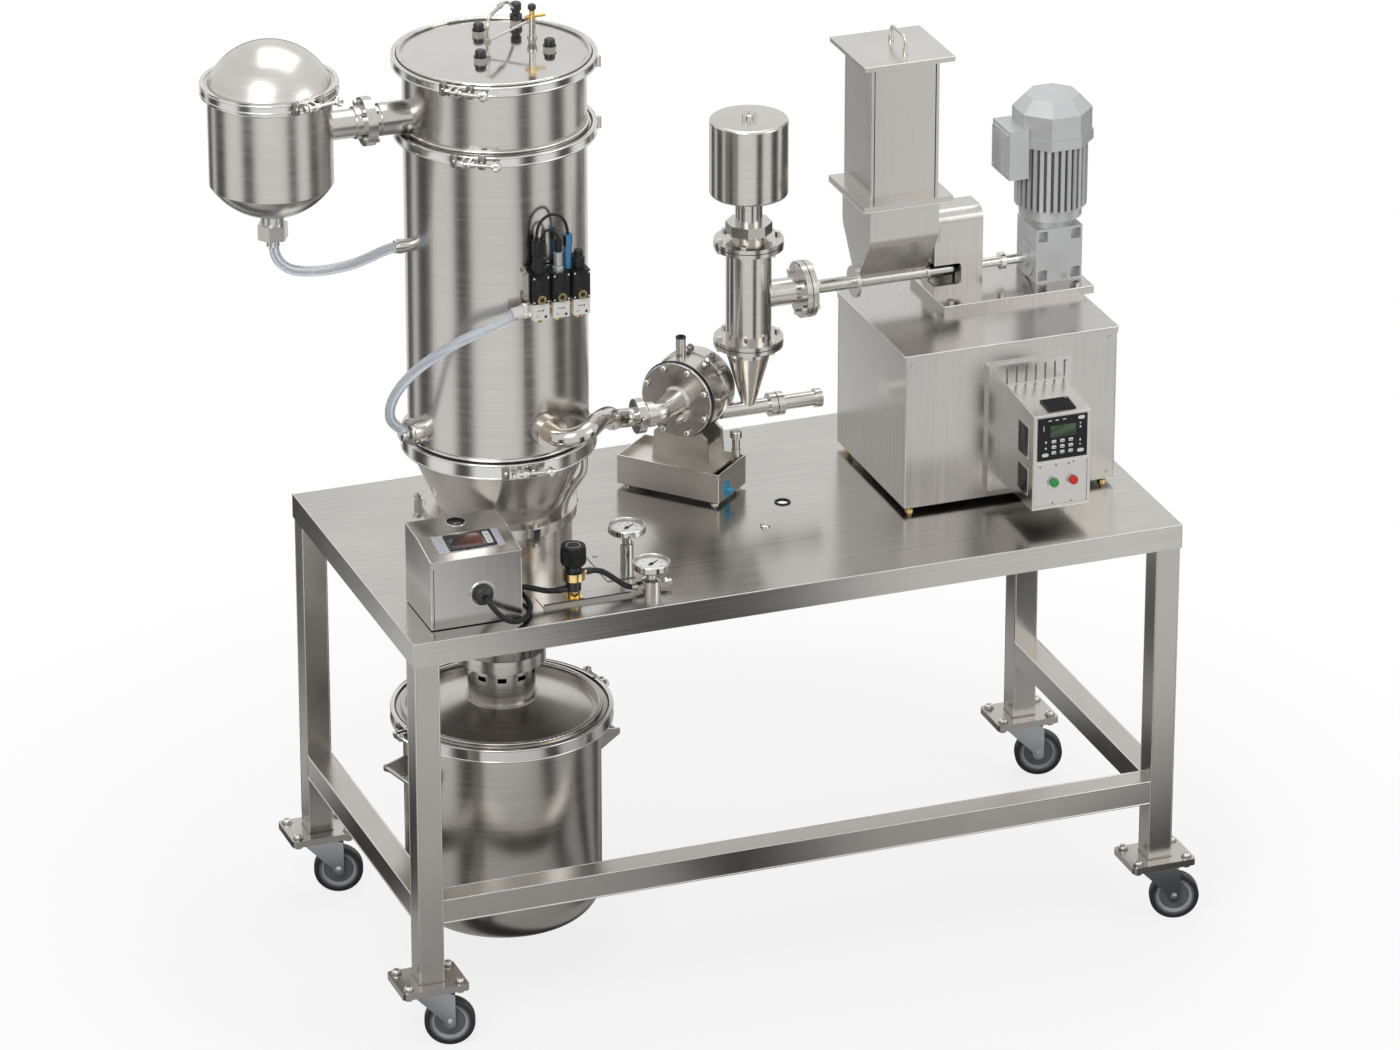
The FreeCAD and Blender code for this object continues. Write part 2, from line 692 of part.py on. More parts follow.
def filter_tower():
    """Shells of the tower from the table up, each with the rims that its bands grip."""
    x, y = TOWER_X, TOWER_Y
    bore = TOWER_R - TOWER_WALL
    foot = CONE_JOINT_Z
    shell = ring(TOWER_R, bore, (x, y, foot), (x, y, HEAD_JOINT_Z))
    ports = [
        port(MILL_PORT_TURN, MILL_PORT_Z, MILL_PORT_R, OUTLET_R - OUTLET_WALL, 16),
        port(PULSE_PORT_TURN, PULSE_PORT_Z, PULSE_PORT_R, CLEAR_HOSE_R - 3, 24),
        port(180, DRAIN_PORT_Z, 13, CLEAR_HOSE_R - 3, 14),
    ]
    body = fused(shell,
                 rim(TOWER, CONE_JOINT_Z, CONE_BAND_R, CONE_BAND_HALF, bore, 1),
                 rim(TOWER, HEAD_JOINT_Z, HEAD_BAND_R, HEAD_BAND_HALF, bore, -1),
                 *[boss for boss, _ in ports])
    body = body.cut(bar(bore, (x, y, foot), (x, y, HEAD_JOINT_Z)))
    for _, hole in ports:
        body = body.cut(hole)
    bracket, screws = valve_bracket()
    end = x - TOWER_R - 14
    drain_nut = ring(14, CLEAR_HOSE_R - 3, (end - 8, y, DRAIN_PORT_Z), (end, y, DRAIN_PORT_Z))
    node("filter_body", fused(body, bracket), *screws, *port_clamps(), drain_nut)

    head = fused(ring(TOWER_R, bore, (x, y, HEAD_JOINT_Z), (x, y, LID_JOINT_Z)),
                 rim(TOWER, HEAD_JOINT_Z, HEAD_BAND_R, HEAD_BAND_HALF, bore, 1),
                 rim(TOWER, LID_JOINT_Z, LID_BAND_R, LID_BAND_HALF, bore, -1))
    start = x - TOWER_R + 20
    flange_end = NOZZLE_JOINT_X + NOZZLE_FLANGE_T
    nozzle = fused(bar(NOZZLE_R, (NOZZLE_JOINT_X, y, NOZZLE_Z), (start, y, NOZZLE_Z)),
                   bar(SLEEVE_R, (NOZZLE_JOINT_X + 24, y, NOZZLE_Z), (start, y, NOZZLE_Z)),
                   bar(NOZZLE_FLANGE_R, (NOZZLE_JOINT_X, y, NOZZLE_Z), (flange_end, y, NOZZLE_Z)))
    head = head.fuse(nozzle.cut(bar(bore, (x, y, HEAD_JOINT_Z), (x, y, LID_JOINT_Z))))
    head = head.cut(bar(NOZZLE_R - NOZZLE_WALL, (NOZZLE_JOINT_X, y, NOZZLE_Z), (start + 10, y, NOZZLE_Z)))
    node("filter_head", head.removeSplitter())

    rim_r = rim_radius(LID_BAND_R)
    rim_top = LID_JOINT_Z + LID_BAND_HALF - BAND_T
    bead = LID_BAND_R - BAND_GRIP - 2
    lid = turned([
        (0, LID_TOP - 4), (LID_DISC_R - 4, LID_TOP - 4), (LID_DISC_R - 4, LID_JOINT_Z), (rim_r, LID_JOINT_Z),
        (rim_r, rim_top), (bead, rim_top), (bead, LID_TOP + 6, 3), (bead - 7, LID_TOP + 6, 3),
        (bead - 7, LID_TOP - 2), (LID_DISC_R, LID_TOP - 2), (LID_DISC_R, LID_TOP), (0, LID_TOP)], (x, y, 0))
    node("filter_lid", lid)

    low = COLLAR_TOP + FLANGE_T
    top = CONE_JOINT_Z - CONE_BAND_HALF
    cone = turned([
        (CONE_END_R - TOWER_WALL, COLLAR_TOP), (FLANGE_R, COLLAR_TOP), (FLANGE_R, low), (CONE_END_R, low),
        (TOWER_R, top), (TOWER_R, CONE_JOINT_Z), (bore, CONE_JOINT_Z), (bore, top),
        (CONE_END_R - TOWER_WALL, low)], (x, y, 0))
    cone = cone.fuse(rim(TOWER, CONE_JOINT_Z, CONE_BAND_R, CONE_BAND_HALF, bore, -1))
    node("discharge_cone", cone.removeSplitter(), cone_brace())

    neck = NECK_R - NECK_WALL
    wall = NECK_WALL
    under = COLLAR_TOP - FLANGE_T
    spool = turned([
        (neck, COUPLING_Z), (COUPLING_R, COUPLING_Z), (COUPLING_R, COUPLING_Z + FLANGE_T),
        (NECK_R, COUPLING_Z + FLANGE_T), (NECK_R, TABLE_H), (neck, TABLE_H)], (x, y, 0))
    collar = turned([
        (neck, TABLE_H), (COLLAR_R, TABLE_H), (COLLAR_R, under), (FLANGE_R, under), (FLANGE_R, COLLAR_TOP),
        (CONE_END_R - wall, COLLAR_TOP), (CONE_END_R - wall, under), (neck, TABLE_H + wall)], (x, y, 0))
    void = turned([
        (NECK_R + wall, TABLE_H + wall), (COLLAR_R - TOWER_WALL, TABLE_H + wall),
        (COLLAR_R - TOWER_WALL, under - wall), (CONE_END_R + wall, under - wall)], (x, y, 0))
    node("base_collar", collar.cut(void), spool, *[swing_clamp(turn) for turn in (-83, 6, 160)])


def cone_brace():
    """Bent brace from the cone's upper rim down to its lower flange."""
    turn = -44
    low = COLLAR_TOP + FLANGE_T
    start = polar(TOWER, TOWER_R + 7, turn, CONE_JOINT_Z - CONE_BAND_HALF - RIM_GAP)
    foot = polar(TOWER, FLANGE_R - 10, turn - 4, low)
    path, _ = route([start, (start[0], start[1], start[2] - 34),
                     polar(TOWER, FLANGE_R - 2, turn - 3, low + 40), (foot[0], foot[1], low + 0.2), foot])
    circle = Part.makeCircle(6.5, V(*start), V(0, 0, -1))
    return path.makePipeShell([Part.Wire([circle])], True, False)


def swing_clamp(turn):
    """Clip over both flanges with its bolt and wing nut, outside the flange edge."""
    low = COLLAR_TOP - FLANGE_T
    high = COLLAR_TOP + FLANGE_T
    out = 15.0
    jaw = COLLAR_R + MOVE_GAP - FLANGE_R
    side = [(jaw, low - 6, 3), (jaw, low), (RIM_GAP, low), (RIM_GAP, high), (jaw, high), (jaw, high + 6, 3),
            (out, high + 6, 3), (out, low - 6, 3)]
    clip = prism(side, -7, 7, "y")
    clip = clip.fuse(bar(3.5, (out - 6, 0, low - 14), (out - 6, 0, high + 18)))
    clip = clip.fuse(hexagon(12, (out - 6, 0, high + 6), (out - 6, 0, high + 13)))
    clip = clip.fuse(bar(9, (out - 6, 0, low - 14), (out - 6, 0, low - 6)))
    clip.translate(V(FLANGE_R, 0, 0))
    return placed(clip, (TOWER_X, TOWER_Y, 0), turn)


def port_clamps():
    """Rings that hold the pulse hose's connector and the pipe at their bosses."""
    rings = []
    places = ((PULSE_PORT_TURN, PULSE_PORT_Z, 22.5, 24), (MILL_PORT_TURN, MILL_PORT_Z, 33, 16))
    for turn, z, radius, reach in places:
        inner = CLEAR_HOSE_R - 3 if radius < 30 else OUTLET_R - OUTLET_WALL
        rings.append(ring(radius, inner, polar(TOWER, TOWER_R + reach, turn, z),
                          polar(TOWER, TOWER_R + reach + 5, turn, z)))
    return rings


def valve_bracket():
    """Folded bracket from the tower to the valves' backs, and its two screws."""
    left = VALVE_X - COIL_W / 2 - 6
    right = VALVE_X + 2 * VALVE_PITCH + COIL_W / 2
    low = COIL_TOP - COIL_H
    back = VALVE_FRONT_Y + COIL_W
    high = COIL_TOP + 6
    skin = bar(TOWER_R - 0.5, (TOWER_X, TOWER_Y, low - 5), (TOWER_X, TOWER_Y, high + 5))
    web = block((left, VALVE_FRONT_Y + 8, low), (left + 2.5, TOWER_Y - TOWER_R + 30, high))
    far = block((right - 2.5, back, low), (right, TOWER_Y - 100, high))
    plate = block((left, back, low), (right, back + 2.5, high))
    bracket = web.fuse(far).fuse(plate).cut(skin)
    screws = []
    for z in (low + 8, high - 8):
        screws.append(hexagon(8, (left - 4, back - 12, z), (left, back - 12, z)))
    return bracket, screws


def clamps():
    """Band clamps of the tower, the separator and the bin, and their closure screws."""
    sep = (SEP_X, SEP_Y, 0)
    bands = [
        band(TOWER, LID_JOINT_Z, LID_BAND_R, LID_BAND_HALF, [LID_CLOSURE], [-28]),
        band(TOWER, HEAD_JOINT_Z, HEAD_BAND_R, HEAD_BAND_HALF, [HEAD_CLOSURE], [-15]),
        band(TOWER, CONE_JOINT_Z, CONE_BAND_R, CONE_BAND_HALF, [CONE_CLOSURE]),
        band(sep, SEP_JOINT_Z, SEP_BAND_R, SEP_BAND_HALF, [SEP_CLOSURE], [106]),
        band(TOWER, BIN_JOINT_Z, BIN_BAND_R, BIN_BAND_HALF, BIN_CLOSURES),
    ]
    node("clamp_bands", *bands)
    screws = {
        "lid_clamp_screw": (TOWER, LID_JOINT_Z, LID_BAND_R, LID_CLOSURE),
        "head_clamp_screw": (TOWER, HEAD_JOINT_Z, HEAD_BAND_R, HEAD_CLOSURE),
        "cone_clamp_screw": (TOWER, CONE_JOINT_Z, CONE_BAND_R, CONE_CLOSURE),
        "separator_clamp_screw": (sep, SEP_JOINT_Z, SEP_BAND_R, SEP_CLOSURE),
        "bin_clamp_screw_left": (TOWER, BIN_JOINT_Z, BIN_BAND_R, BIN_CLOSURES[0]),
        "bin_clamp_screw_right": (TOWER, BIN_JOINT_Z, BIN_BAND_R, BIN_CLOSURES[1]),
    }
    for name, place in screws.items():
        node(name, clamp_screw(*place))


def lid_fittings():
    """Cap nuts, posts, tap and goose pipe on the lid disc."""
    parts = []
    for dx, dy in ((6, 107), (-38, -32), (105, -20)):
        x, y = TOWER_X + dx, TOWER_Y + dy
        parts.append(fused(hexagon(23, (x, y, LID_TOP), (x, y, LID_TOP + 7)),
                           turned([(0, 7), (13, 7), (13, 9), (10.5, 9), (10.5, 18), (9, 22, 4), (0, 22)],
                                  (x, y, LID_TOP))))
    x, y = TOWER_X + 92, TOWER_Y + 137
    post = [(0, 8), (12, 8), (12, 18), (8, 20), (8, 26), (10.5, 28), (10.5, 43, 4), (0, 43)]
    parts.append(fused(hexagon(20, (x, y, LID_TOP), (x, y, LID_TOP + 8)), turned(post, (x, y, LID_TOP))))
    x, y = TOWER_X + 85, TOWER_Y + 23
    post = fused(bar(6.5, (x, y, LID_TOP), (x, y, LID_TOP + 56)),
                 turned([(0, 0), (7, 0), (10, 10), (10, 16), (0, 16)], (x, y, LID_TOP)),
                 bar(5, (x, y, LID_TOP + 52), (x, y, LID_TOP + 66)),
                 bar(3.5, (x - 14, y, LID_TOP + 54), (x + 26, y, LID_TOP + 54)),
                 turned([(0, 66), (5, 66), (8, 70, 3), (8, 78, 5), (0, 80)], (x, y, LID_TOP)))
    parts.append(post)
    x, y = TOWER_X - 8, TOWER_Y + 14
    stem = fused(bar(4, (x, y, LID_TOP), (x, y, LID_TOP + 28)),
                 hexagon(12, (x, y, LID_TOP + 12), (x, y, LID_TOP + 24)))
    parts.append(stem)
    goose = [(x, y, LID_TOP + 28), (x, y, LID_TOP + 50), (x + 6, y + 9, LID_TOP + 62),
             (x + 24, y + 31, LID_TOP + 64), (x + 43, y + 54, LID_TOP + 64)]
    parts.append(hose("goose pipe", 3.5, goose))
    tee = (x + 43, y + 54, LID_TOP + 64)
    drop = [(tee[0] + 7, tee[1] + 9, tee[2]), (tee[0] + 25, tee[1] + 30, tee[2] - 2),
            (tee[0] + 44, tee[1] + 50, LID_TOP + 40)]
    vent = hose("vent hose", 3.0, drop)
    parts.append(hexagon(10, tee, drop[0]).cut(parts[-1]).cut(vent))
    parts.append(vent)
    rod = bar(2.5, (x, y, LID_TOP + 18), (TOWER_X + 85, TOWER_Y + 23, LID_TOP + 48))
    parts.append(rod.cut(stem).cut(post))
    node("lid_fittings", *parts)


def separator():
    """Deep drawn vessel with its side nozzle and drain nut, and the domed lid."""
    x, y = SEP_X, SEP_Y
    centre = (x, y, 0)
    bore = SEP_R - SEP_WALL
    dish_low = SEP_TANGENT_Z - SEP_DISH
    shell = fused(ring(SEP_R, bore, (x, y, SEP_TANGENT_Z), (x, y, SEP_JOINT_Z)),
                  cap(SEP_R, -SEP_DISH, SEP_WALL, (x, y, SEP_TANGENT_Z)),
                  rim(centre, SEP_JOINT_Z, SEP_BAND_R, SEP_BAND_HALF, bore, -1))
    start = x + SEP_R - 12
    end = NOZZLE_JOINT_X
    nozzle = fused(bar(NOZZLE_R, (start, y, NOZZLE_Z), (end, y, NOZZLE_Z)),
                   bar(NOZZLE_R + 4, (end - NOZZLE_FLANGE_T - 16, y, NOZZLE_Z), (end, y, NOZZLE_Z)),
                   bar(NOZZLE_FLANGE_R, (end - NOZZLE_FLANGE_T, y, NOZZLE_Z), (end, y, NOZZLE_Z)))
    shell = shell.fuse(nozzle.cut(bar(bore, (x, y, SEP_TANGENT_Z), (x, y, SEP_JOINT_Z))))
    shell = shell.cut(bar(NOZZLE_R - NOZZLE_WALL, (start - 12, y, NOZZLE_Z), (end, y, NOZZLE_Z)))
    shell = shell.fuse(bar(SEP_NECK_R, (x, y, dish_low - 19), (x, y, dish_low + 6)))
    shell = shell.cut(bar(CLEAR_HOSE_R, (x, y, dish_low - 19), (x, y, dish_low + 10)))
    nut_top = dish_low - 19
    nut = hexagon(SEP_NUT_ACROSS, (x, y, nut_top - SEP_NUT_T), (x, y, nut_top))
    nut = nut.cut(bar(CLEAR_HOSE_R, (x, y, nut_top - SEP_NUT_T), (x, y, nut_top)))
    bolts = []
    for i in range(4):
        lean = math.radians(45 + 90 * i)
        by = y + (NOZZLE_FLANGE_R - 7) * math.cos(lean)
        bz = NOZZLE_Z + (NOZZLE_FLANGE_R - 7) * math.sin(lean)
        low = end - NOZZLE_FLANGE_T
        high = end + NOZZLE_FLANGE_T
        bolts.append(hexagon(BOLT_ACROSS, (low - BOLT_HEAD, by, bz), (low, by, bz)))
        bolts.append(hexagon(BOLT_ACROSS, (high, by, bz), (high + BOLT_HEAD, by, bz)))
    node("separator_body", shell.removeSplitter(), nut, *bolts)

    edge = SEP_JOINT_Z + SEP_BAND_HALF - BAND_T
    dome = fused(cap(SEP_R - 1, SEP_DOME, SEP_WALL, (x, y, edge)),
                 rim(centre, SEP_JOINT_Z, SEP_BAND_R, SEP_BAND_HALF, SEP_R - 1 - SEP_WALL, 1))
    node("separator_dome", dome)


def collecting_bin():
    """Bin with rounded bottom and bar handles, and its lid with the slotted neck."""
    x, y = TOWER_X, TOWER_Y
    centre = (x, y, 0)
    bore = BIN_R - BIN_WALL
    rim_low = BIN_JOINT_Z - BIN_BAND_HALF + BAND_T
    rim_r = rim_radius(BIN_BAND_R)
    bin_body = turned([
        (0, BIN_BOTTOM_Z), (BIN_R, BIN_BOTTOM_Z, BIN_CORNER_R), (BIN_R, rim_low), (rim_r, rim_low),
        (rim_r, BIN_JOINT_Z), (bore, BIN_JOINT_Z), (bore, BIN_BOTTOM_Z + BIN_WALL, BIN_CORNER_R - BIN_WALL),
        (0, BIN_BOTTOM_Z + BIN_WALL)], (x, y, 0))
    node("bin_body", bin_body)
    pieces = []
    for turn in BIN_HANDLE_TURNS:
        pieces += [placed(solid, (x, y, BIN_HANDLE_Z), turn) for solid in bar_handle()]
    node("bin_handles", *pieces)

    top = BIN_JOINT_Z + BIN_BAND_HALF - BAND_T
    rise = BIN_JOINT_Z + BIN_LID_RISE
    wall = BIN_WALL
    inner = BIN_NECK_R - NECK_WALL
    boss = BIN_NECK_R + 5
    step = BIN_R - 16
    lid = turned([
        (inner, rise - 2), (boss, rise - 2), (step, BIN_JOINT_Z), (rim_r, BIN_JOINT_Z), (rim_r, top),
        (BIN_R + 4, top), (BIN_R + 4, top + 8, 3), (BIN_R - 6, top + 8, 3), (BIN_R - 6, BIN_JOINT_Z + 4),
        (step, BIN_JOINT_Z + 4), (boss, rise + wall), (boss, rise + 8), (inner, rise + 8)], (x, y, 0))
    under = COUPLING_Z - 16
    neck = turned([
        (inner, rise + 8), (BIN_NECK_R, rise + 8), (BIN_NECK_R, under), (COUPLING_R, under),
        (COUPLING_R, COUPLING_Z), (inner, COUPLING_Z)], (x, y, 0))
    slot = block((BIN_NECK_R - 8, -9, COUPLING_Z - 44), (BIN_NECK_R + 8, 9, COUPLING_Z - 34))
    for i in range(NECK_SLOTS):
        neck = neck.cut(placed(slot, centre, 360 * i / NECK_SLOTS))
    knobs = []
    for turn in (-166, -14):
        near = polar(centre, BIN_NECK_R + 0.2, turn, COUPLING_Z - 27)
        knobs.append(fused(bar(4, near, polar(centre, BIN_NECK_R + 12, turn, COUPLING_Z - 27)),
                           bar(8, polar(centre, BIN_NECK_R + 8, turn, COUPLING_Z - 27),
                               polar(centre, BIN_NECK_R + 16, turn, COUPLING_Z - 27))))
    node("bin_lid", lid, neck, *knobs)


def bar_handle():
    """Straight bar between two gussets that are welded on the bin's wall, along Y."""
    half = BIN_HANDLE_L / 2
    foot = math.sqrt(BIN_R * BIN_R - half * half)
    out = BIN_R + BIN_HANDLE_OUT
    inside = half - HANDLE_PLATE_T
    grip = bar(HANDLE_ROD_R, (out - HANDLE_ROD_R - 1, -inside, 0), (out - HANDLE_ROD_R - 1, inside, 0))
    gusset = [(foot - 1, -30), (foot + 7, -30), (out, -6, 3), (out, 7, 3), (out - 10, 7), (foot - 1, 16)]
    wall = bar(BIN_R, (0, 0, -50), (0, 0, 50))
    ends = [prism(gusset, -half, -inside, "y").cut(wall), prism(gusset, inside, half, "y").cut(wall)]
    return grip, *ends


def clear_hoses():
    """Drain hose of the separator and pulse hose from the first valve to the tower."""
    nut_low = SEP_TANGENT_Z - SEP_DISH - 19 - SEP_NUT_T
    end = TOWER_X - TOWER_R - 14
    drop = DRAIN_PORT_Z
    drain = hose("drain hose", CLEAR_HOSE_R, [
        (SEP_X, SEP_Y, nut_low + 6), (SEP_X, SEP_Y, nut_low - 26), (SEP_X + 13, SEP_Y, drop - 2),
        (SEP_X + 40, SEP_Y, drop - 21), (SEP_X + 92, SEP_Y, drop - 29), (SEP_X + 147, SEP_Y, drop - 26),
        (end - 68, SEP_Y, drop - 15.5), (end - 25, SEP_Y, drop), (end, SEP_Y, drop)])
    knurl_x, knurl_y = VALVE_X - COIL_W / 2 - 21, VALVE_FRONT_Y + 17
    low = PULSE_PORT_Z
    pulse = hose("pulse hose", CLEAR_HOSE_R, [
        (knurl_x, knurl_y, COIL_TOP - 75), (knurl_x - 36, knurl_y - 3, COIL_TOP - 89),
        (knurl_x - 82, knurl_y - 1, COIL_TOP - 104), (knurl_x - 129, knurl_y + 8, COIL_TOP - 125),
        (99, 169, low + 202), (66, 196, low + 162), (46, 226, low + 116), (42, 254, low + 70),
        (55, 276, low + 30), polar(TOWER, TOWER_R + 29, PULSE_PORT_TURN, low)])
    return [drain, pulse]


def valves():
    """Three pulse valves in a row: coil, block, plug and brass ports, and the hose's connector."""
    parts = []
    brass = []
    y0 = VALVE_FRONT_Y
    y1 = y0 + COIL_W
    mid = y0 + COIL_W / 2
    low = COIL_TOP - COIL_H
    for i in range(3):
        x = VALVE_X + i * VALVE_PITCH
        half = COIL_W / 2
        corners = [(x - half, y0, 3), (x + half, y0, 3), (x + half, y1, 3), (x - half, y1, 3)]
        coil = prism(corners, low, COIL_TOP, "z")
        white = block((x - half + 1, y0 + 1, low - BLOCK_H), (x + half - 1, y1 - 1, low))
        parts += [coil, white]
        brass.append(ring(9, 4.5, (x, y0 - 5, low + 10), (x, y0, low + 10)))
        brass.append(hexagon(13, (x, mid, low - BLOCK_H - 9), (x, mid, low - BLOCK_H)))
        if i:
            brass.append(bar(5, (x - VALVE_PITCH + half - 1, mid, low - 14), (x - half + 1, mid, low - 14)))
    x1, x2, x3 = (VALVE_X + i * VALVE_PITCH for i in range(3))
    plug = [(0, 0), (13, 0), (13, 8), (9, 36), (11, 38), (11, 69), (0, 69)]
    parts.append(turned(plug, (x1, mid, COIL_TOP)))
    parts.append(turned([(0, 0), (11, 0), (11, 8), (8, 10), (9, 12), (9, 38), (7, 38), (7, 66), (0, 66)],
                        (x2, mid, COIL_TOP)))
    parts.append(turned([(0, 0), (12, 0), (12, 22), (9, 24), (9, 36), (0, 36)], (x3, mid + 2, COIL_TOP)))
    plug = [(0, 0), (8, 0), (8, 44), (9, 46), (9, 68), (0, 68)]
    parts.append(turned(plug, (x3 - PLUG_OFFSET, mid + 9, COIL_TOP)))
    start = VALVE_X - COIL_W / 2
    knurl = fused(bar(14, (start - 14, mid, low - 16), (start + 1, mid, low - 16)),
                  bar(12, (start - 36, mid, low - 20), (start - 13, mid, low - 16.5)))
    knurl = knurl.cut(block((start + 1, y0, low - BLOCK_H), (start + 20, y1, low)))
    node("solenoid_valves", *parts, knurl)
    node("brass_fittings", *brass)


def mill_frame(solid):
    """Solid in the mill's own directions, turned and moved to its place on the table."""
    return placed(solid, (MILL_X, MILL_Y, 0), MILL_TURN)


def mill():
    """Jet mill on its stand; built with its front towards -Y and then turned."""
    half_l = STAND_L / 2
    half_w = STAND_W / 2
    top = STAND_Z + STAND_H
    wall = STAND_WALL
    tray = block((-half_l, -half_w, STAND_Z), (half_l, half_w, top))
    inside = (-half_l + wall, -half_w + wall)
    tray = tray.cut(block((*inside, STAND_Z + wall), (half_l - wall, half_w - wall, top)))
    shelf = block((*inside, top - 18), (half_l - 30, half_w - wall, top - 14))
    saddle_z = MILL_Z - DRUM_R + 14
    front = -COVER_FRONT + COVER_T
    cheeks = []
    for y in (front + 6, front + DRUM_L - 40):
        cheek = [(-62, top - 14), (-58, saddle_z - 14), (-40, saddle_z), (40, saddle_z),
                 (58, saddle_z - 14), (62, top - 14)]
        cheeks.append(prism(cheek, y, y + 8, "y"))
    cheeks.append(block((-52, front + 6, top - 14), (-44, front + DRUM_L - 32, top + 24)))
    cheeks.append(block((44, front + 6, top - 14), (52, front + DRUM_L - 32, top + 24)))
    drum_space = bar(DRUM_R, (0, front, MILL_Z), (0, front + DRUM_L, MILL_Z))
    stand = fused(tray, shelf, *cheeks).cut(drum_space)
    feet = []
    for i in (-1, 1):
        for j in (-1, 1):
            fx, fy = i * (half_l - 16), j * (half_w - 14)
            feet.append(fused(bar(4, (fx, fy, TABLE_H), (fx, fy, STAND_Z)),
                              bar(9, (fx, fy, TABLE_H), (fx, fy, TABLE_H + 3))))
    push = bar(5, (half_l, -half_w + 36, STAND_Z + 18), (half_l + 14, -half_w + 36, STAND_Z + 18))
    post_x, post_y = half_l - 14, half_w - 16
    post = ring(9, 5.2 + RUN_FIT, (post_x, post_y, top - 30), (post_x, post_y, top + 18))
    ledge = block((half_l - 30, half_w - 34, top - 33), (half_l - wall, half_w - wall, top - 30))
    node("mill_base", mill_frame(fused(stand, ledge, post)), *[mill_frame(f) for f in feet], mill_frame(push))
    lock = turned([
        (0, top - 26), (5.2, top - 26), (5.2, top + 18.4), (8, top + 18.4), (8, top + 40), (12, top + 42),
        (12, top + 56, 3), (0, top + 56)], (post_x, post_y, 0))
    node("mill_lock_screw", mill_frame(lock))

    seam = DRUM_L * 0.56
    drum = turned([
        (0, 0), (COVER_R - 4, 0), (DRUM_R - 3, 5), (DRUM_R - 3, seam - 8), (DRUM_R, seam - 7),
        (DRUM_R, seam + 7), (DRUM_R - 4, seam + 8), (DRUM_R - 5, DRUM_L - 14), (DRUM_R - 18, DRUM_L),
        (0, DRUM_L)],
        (0, front, MILL_Z), (0, 1, 0))
    hollow = turned([(0, 8), (DRUM_R - 12, 8), (DRUM_R - 12, DRUM_L - 16), (0, DRUM_L - 16)],
                    (0, front, MILL_Z), (0, 1, 0))
    drum = drum.cut(hollow)
    tall = MILL_Z + DRUM_R + 42
    stub = ring(10, 6.5, (-8, front + 26, MILL_Z + DRUM_R - 14), (-8, front + 26, tall))
    drum = drum.fuse(stub).cut(bar(6.5, (-8, front + 26, MILL_Z), (-8, front + 26, tall)))
    tbolt = fused(bar(4, (DRUM_R - 5, front + 18, MILL_Z + 6), (DRUM_R + 8, front + 18, MILL_Z + 6)),
                  bar(4.5, (DRUM_R + 6, front + 2, MILL_Z + 6), (DRUM_R + 6, front + 62, MILL_Z + 6)))
    tbolt = tbolt.cut(turned([(0, 0), (DRUM_R - 3, 0), (DRUM_R - 3, DRUM_L)], (0, front, MILL_Z), (0, 1, 0)))
    node("mill_drum", mill_frame(drum.removeSplitter()), mill_frame(tbolt))

    cover = turned([
        (NOSE_R - 3, 0), (COVER_R, 0), (COVER_R, COVER_T, 2), (30, COVER_T), (NOSE_R + 5, COVER_T + 6),
        (NOSE_R, COVER_T + NOSE_L), (NOSE_R - 3, COVER_T + NOSE_L)],
        (0, front, MILL_Z), (0, -1, 0))
    small = turned([(0, 0), (11, 0), (10, 14), (6, 26), (5, 34), (0, 34)],
                   (14, front - COVER_T, MILL_Z - 32), (0, -1, 0))
    parts = [mill_frame(fused(cover, small))]
    for i in range(8):
        lean = math.radians(22.5 + 45 * i)
        bx = (COVER_R - 8) * math.cos(lean)
        bz = MILL_Z + (COVER_R - 8) * math.sin(lean)
        parts.append(mill_frame(hexagon(10, (bx, front - COVER_T - 7, bz), (bx, front - COVER_T, bz))))
    node("mill_cover", *parts, *nose_union())


def nose_point():
    """Centre of the nose's open end on the turned mill."""
    reach = COVER_FRONT + NOSE_L
    lean = math.radians(MILL_TURN)
    return (MILL_X + reach * math.sin(lean), MILL_Y - reach * math.cos(lean), MILL_Z)


def nose_union():
    """Elbow from the nose to the outlet's clamped joint."""
    nose = V(*nose_point())
    lean = math.radians(MILL_TURN)
    out = V(math.sin(lean), -math.cos(lean), 0)
    end = V(UNION_X, nose.y + out.y * 14, MILL_Z)
    path, _ = route([tuple(nose), tuple(nose + out * 14), tuple(end)])
    outer = path.makePipeShell([Part.Wire([Part.makeCircle(NOSE_R + 1, nose, out)])], True, False)
    inner = path.makePipeShell([Part.Wire([Part.makeCircle(NOSE_R - 3, nose, out)])], True, False)
    flange = ring(UNION_R, NOSE_R - 3, (UNION_X, end.y, end.z), (UNION_X + 9, end.y, end.z))
    collar = ring(NOSE_R + 5, NOSE_R - 3, (UNION_X + 16, end.y, end.z), (UNION_X + 30, end.y, end.z))
    return [fused(outer.cut(inner), flange, collar).removeSplitter()]


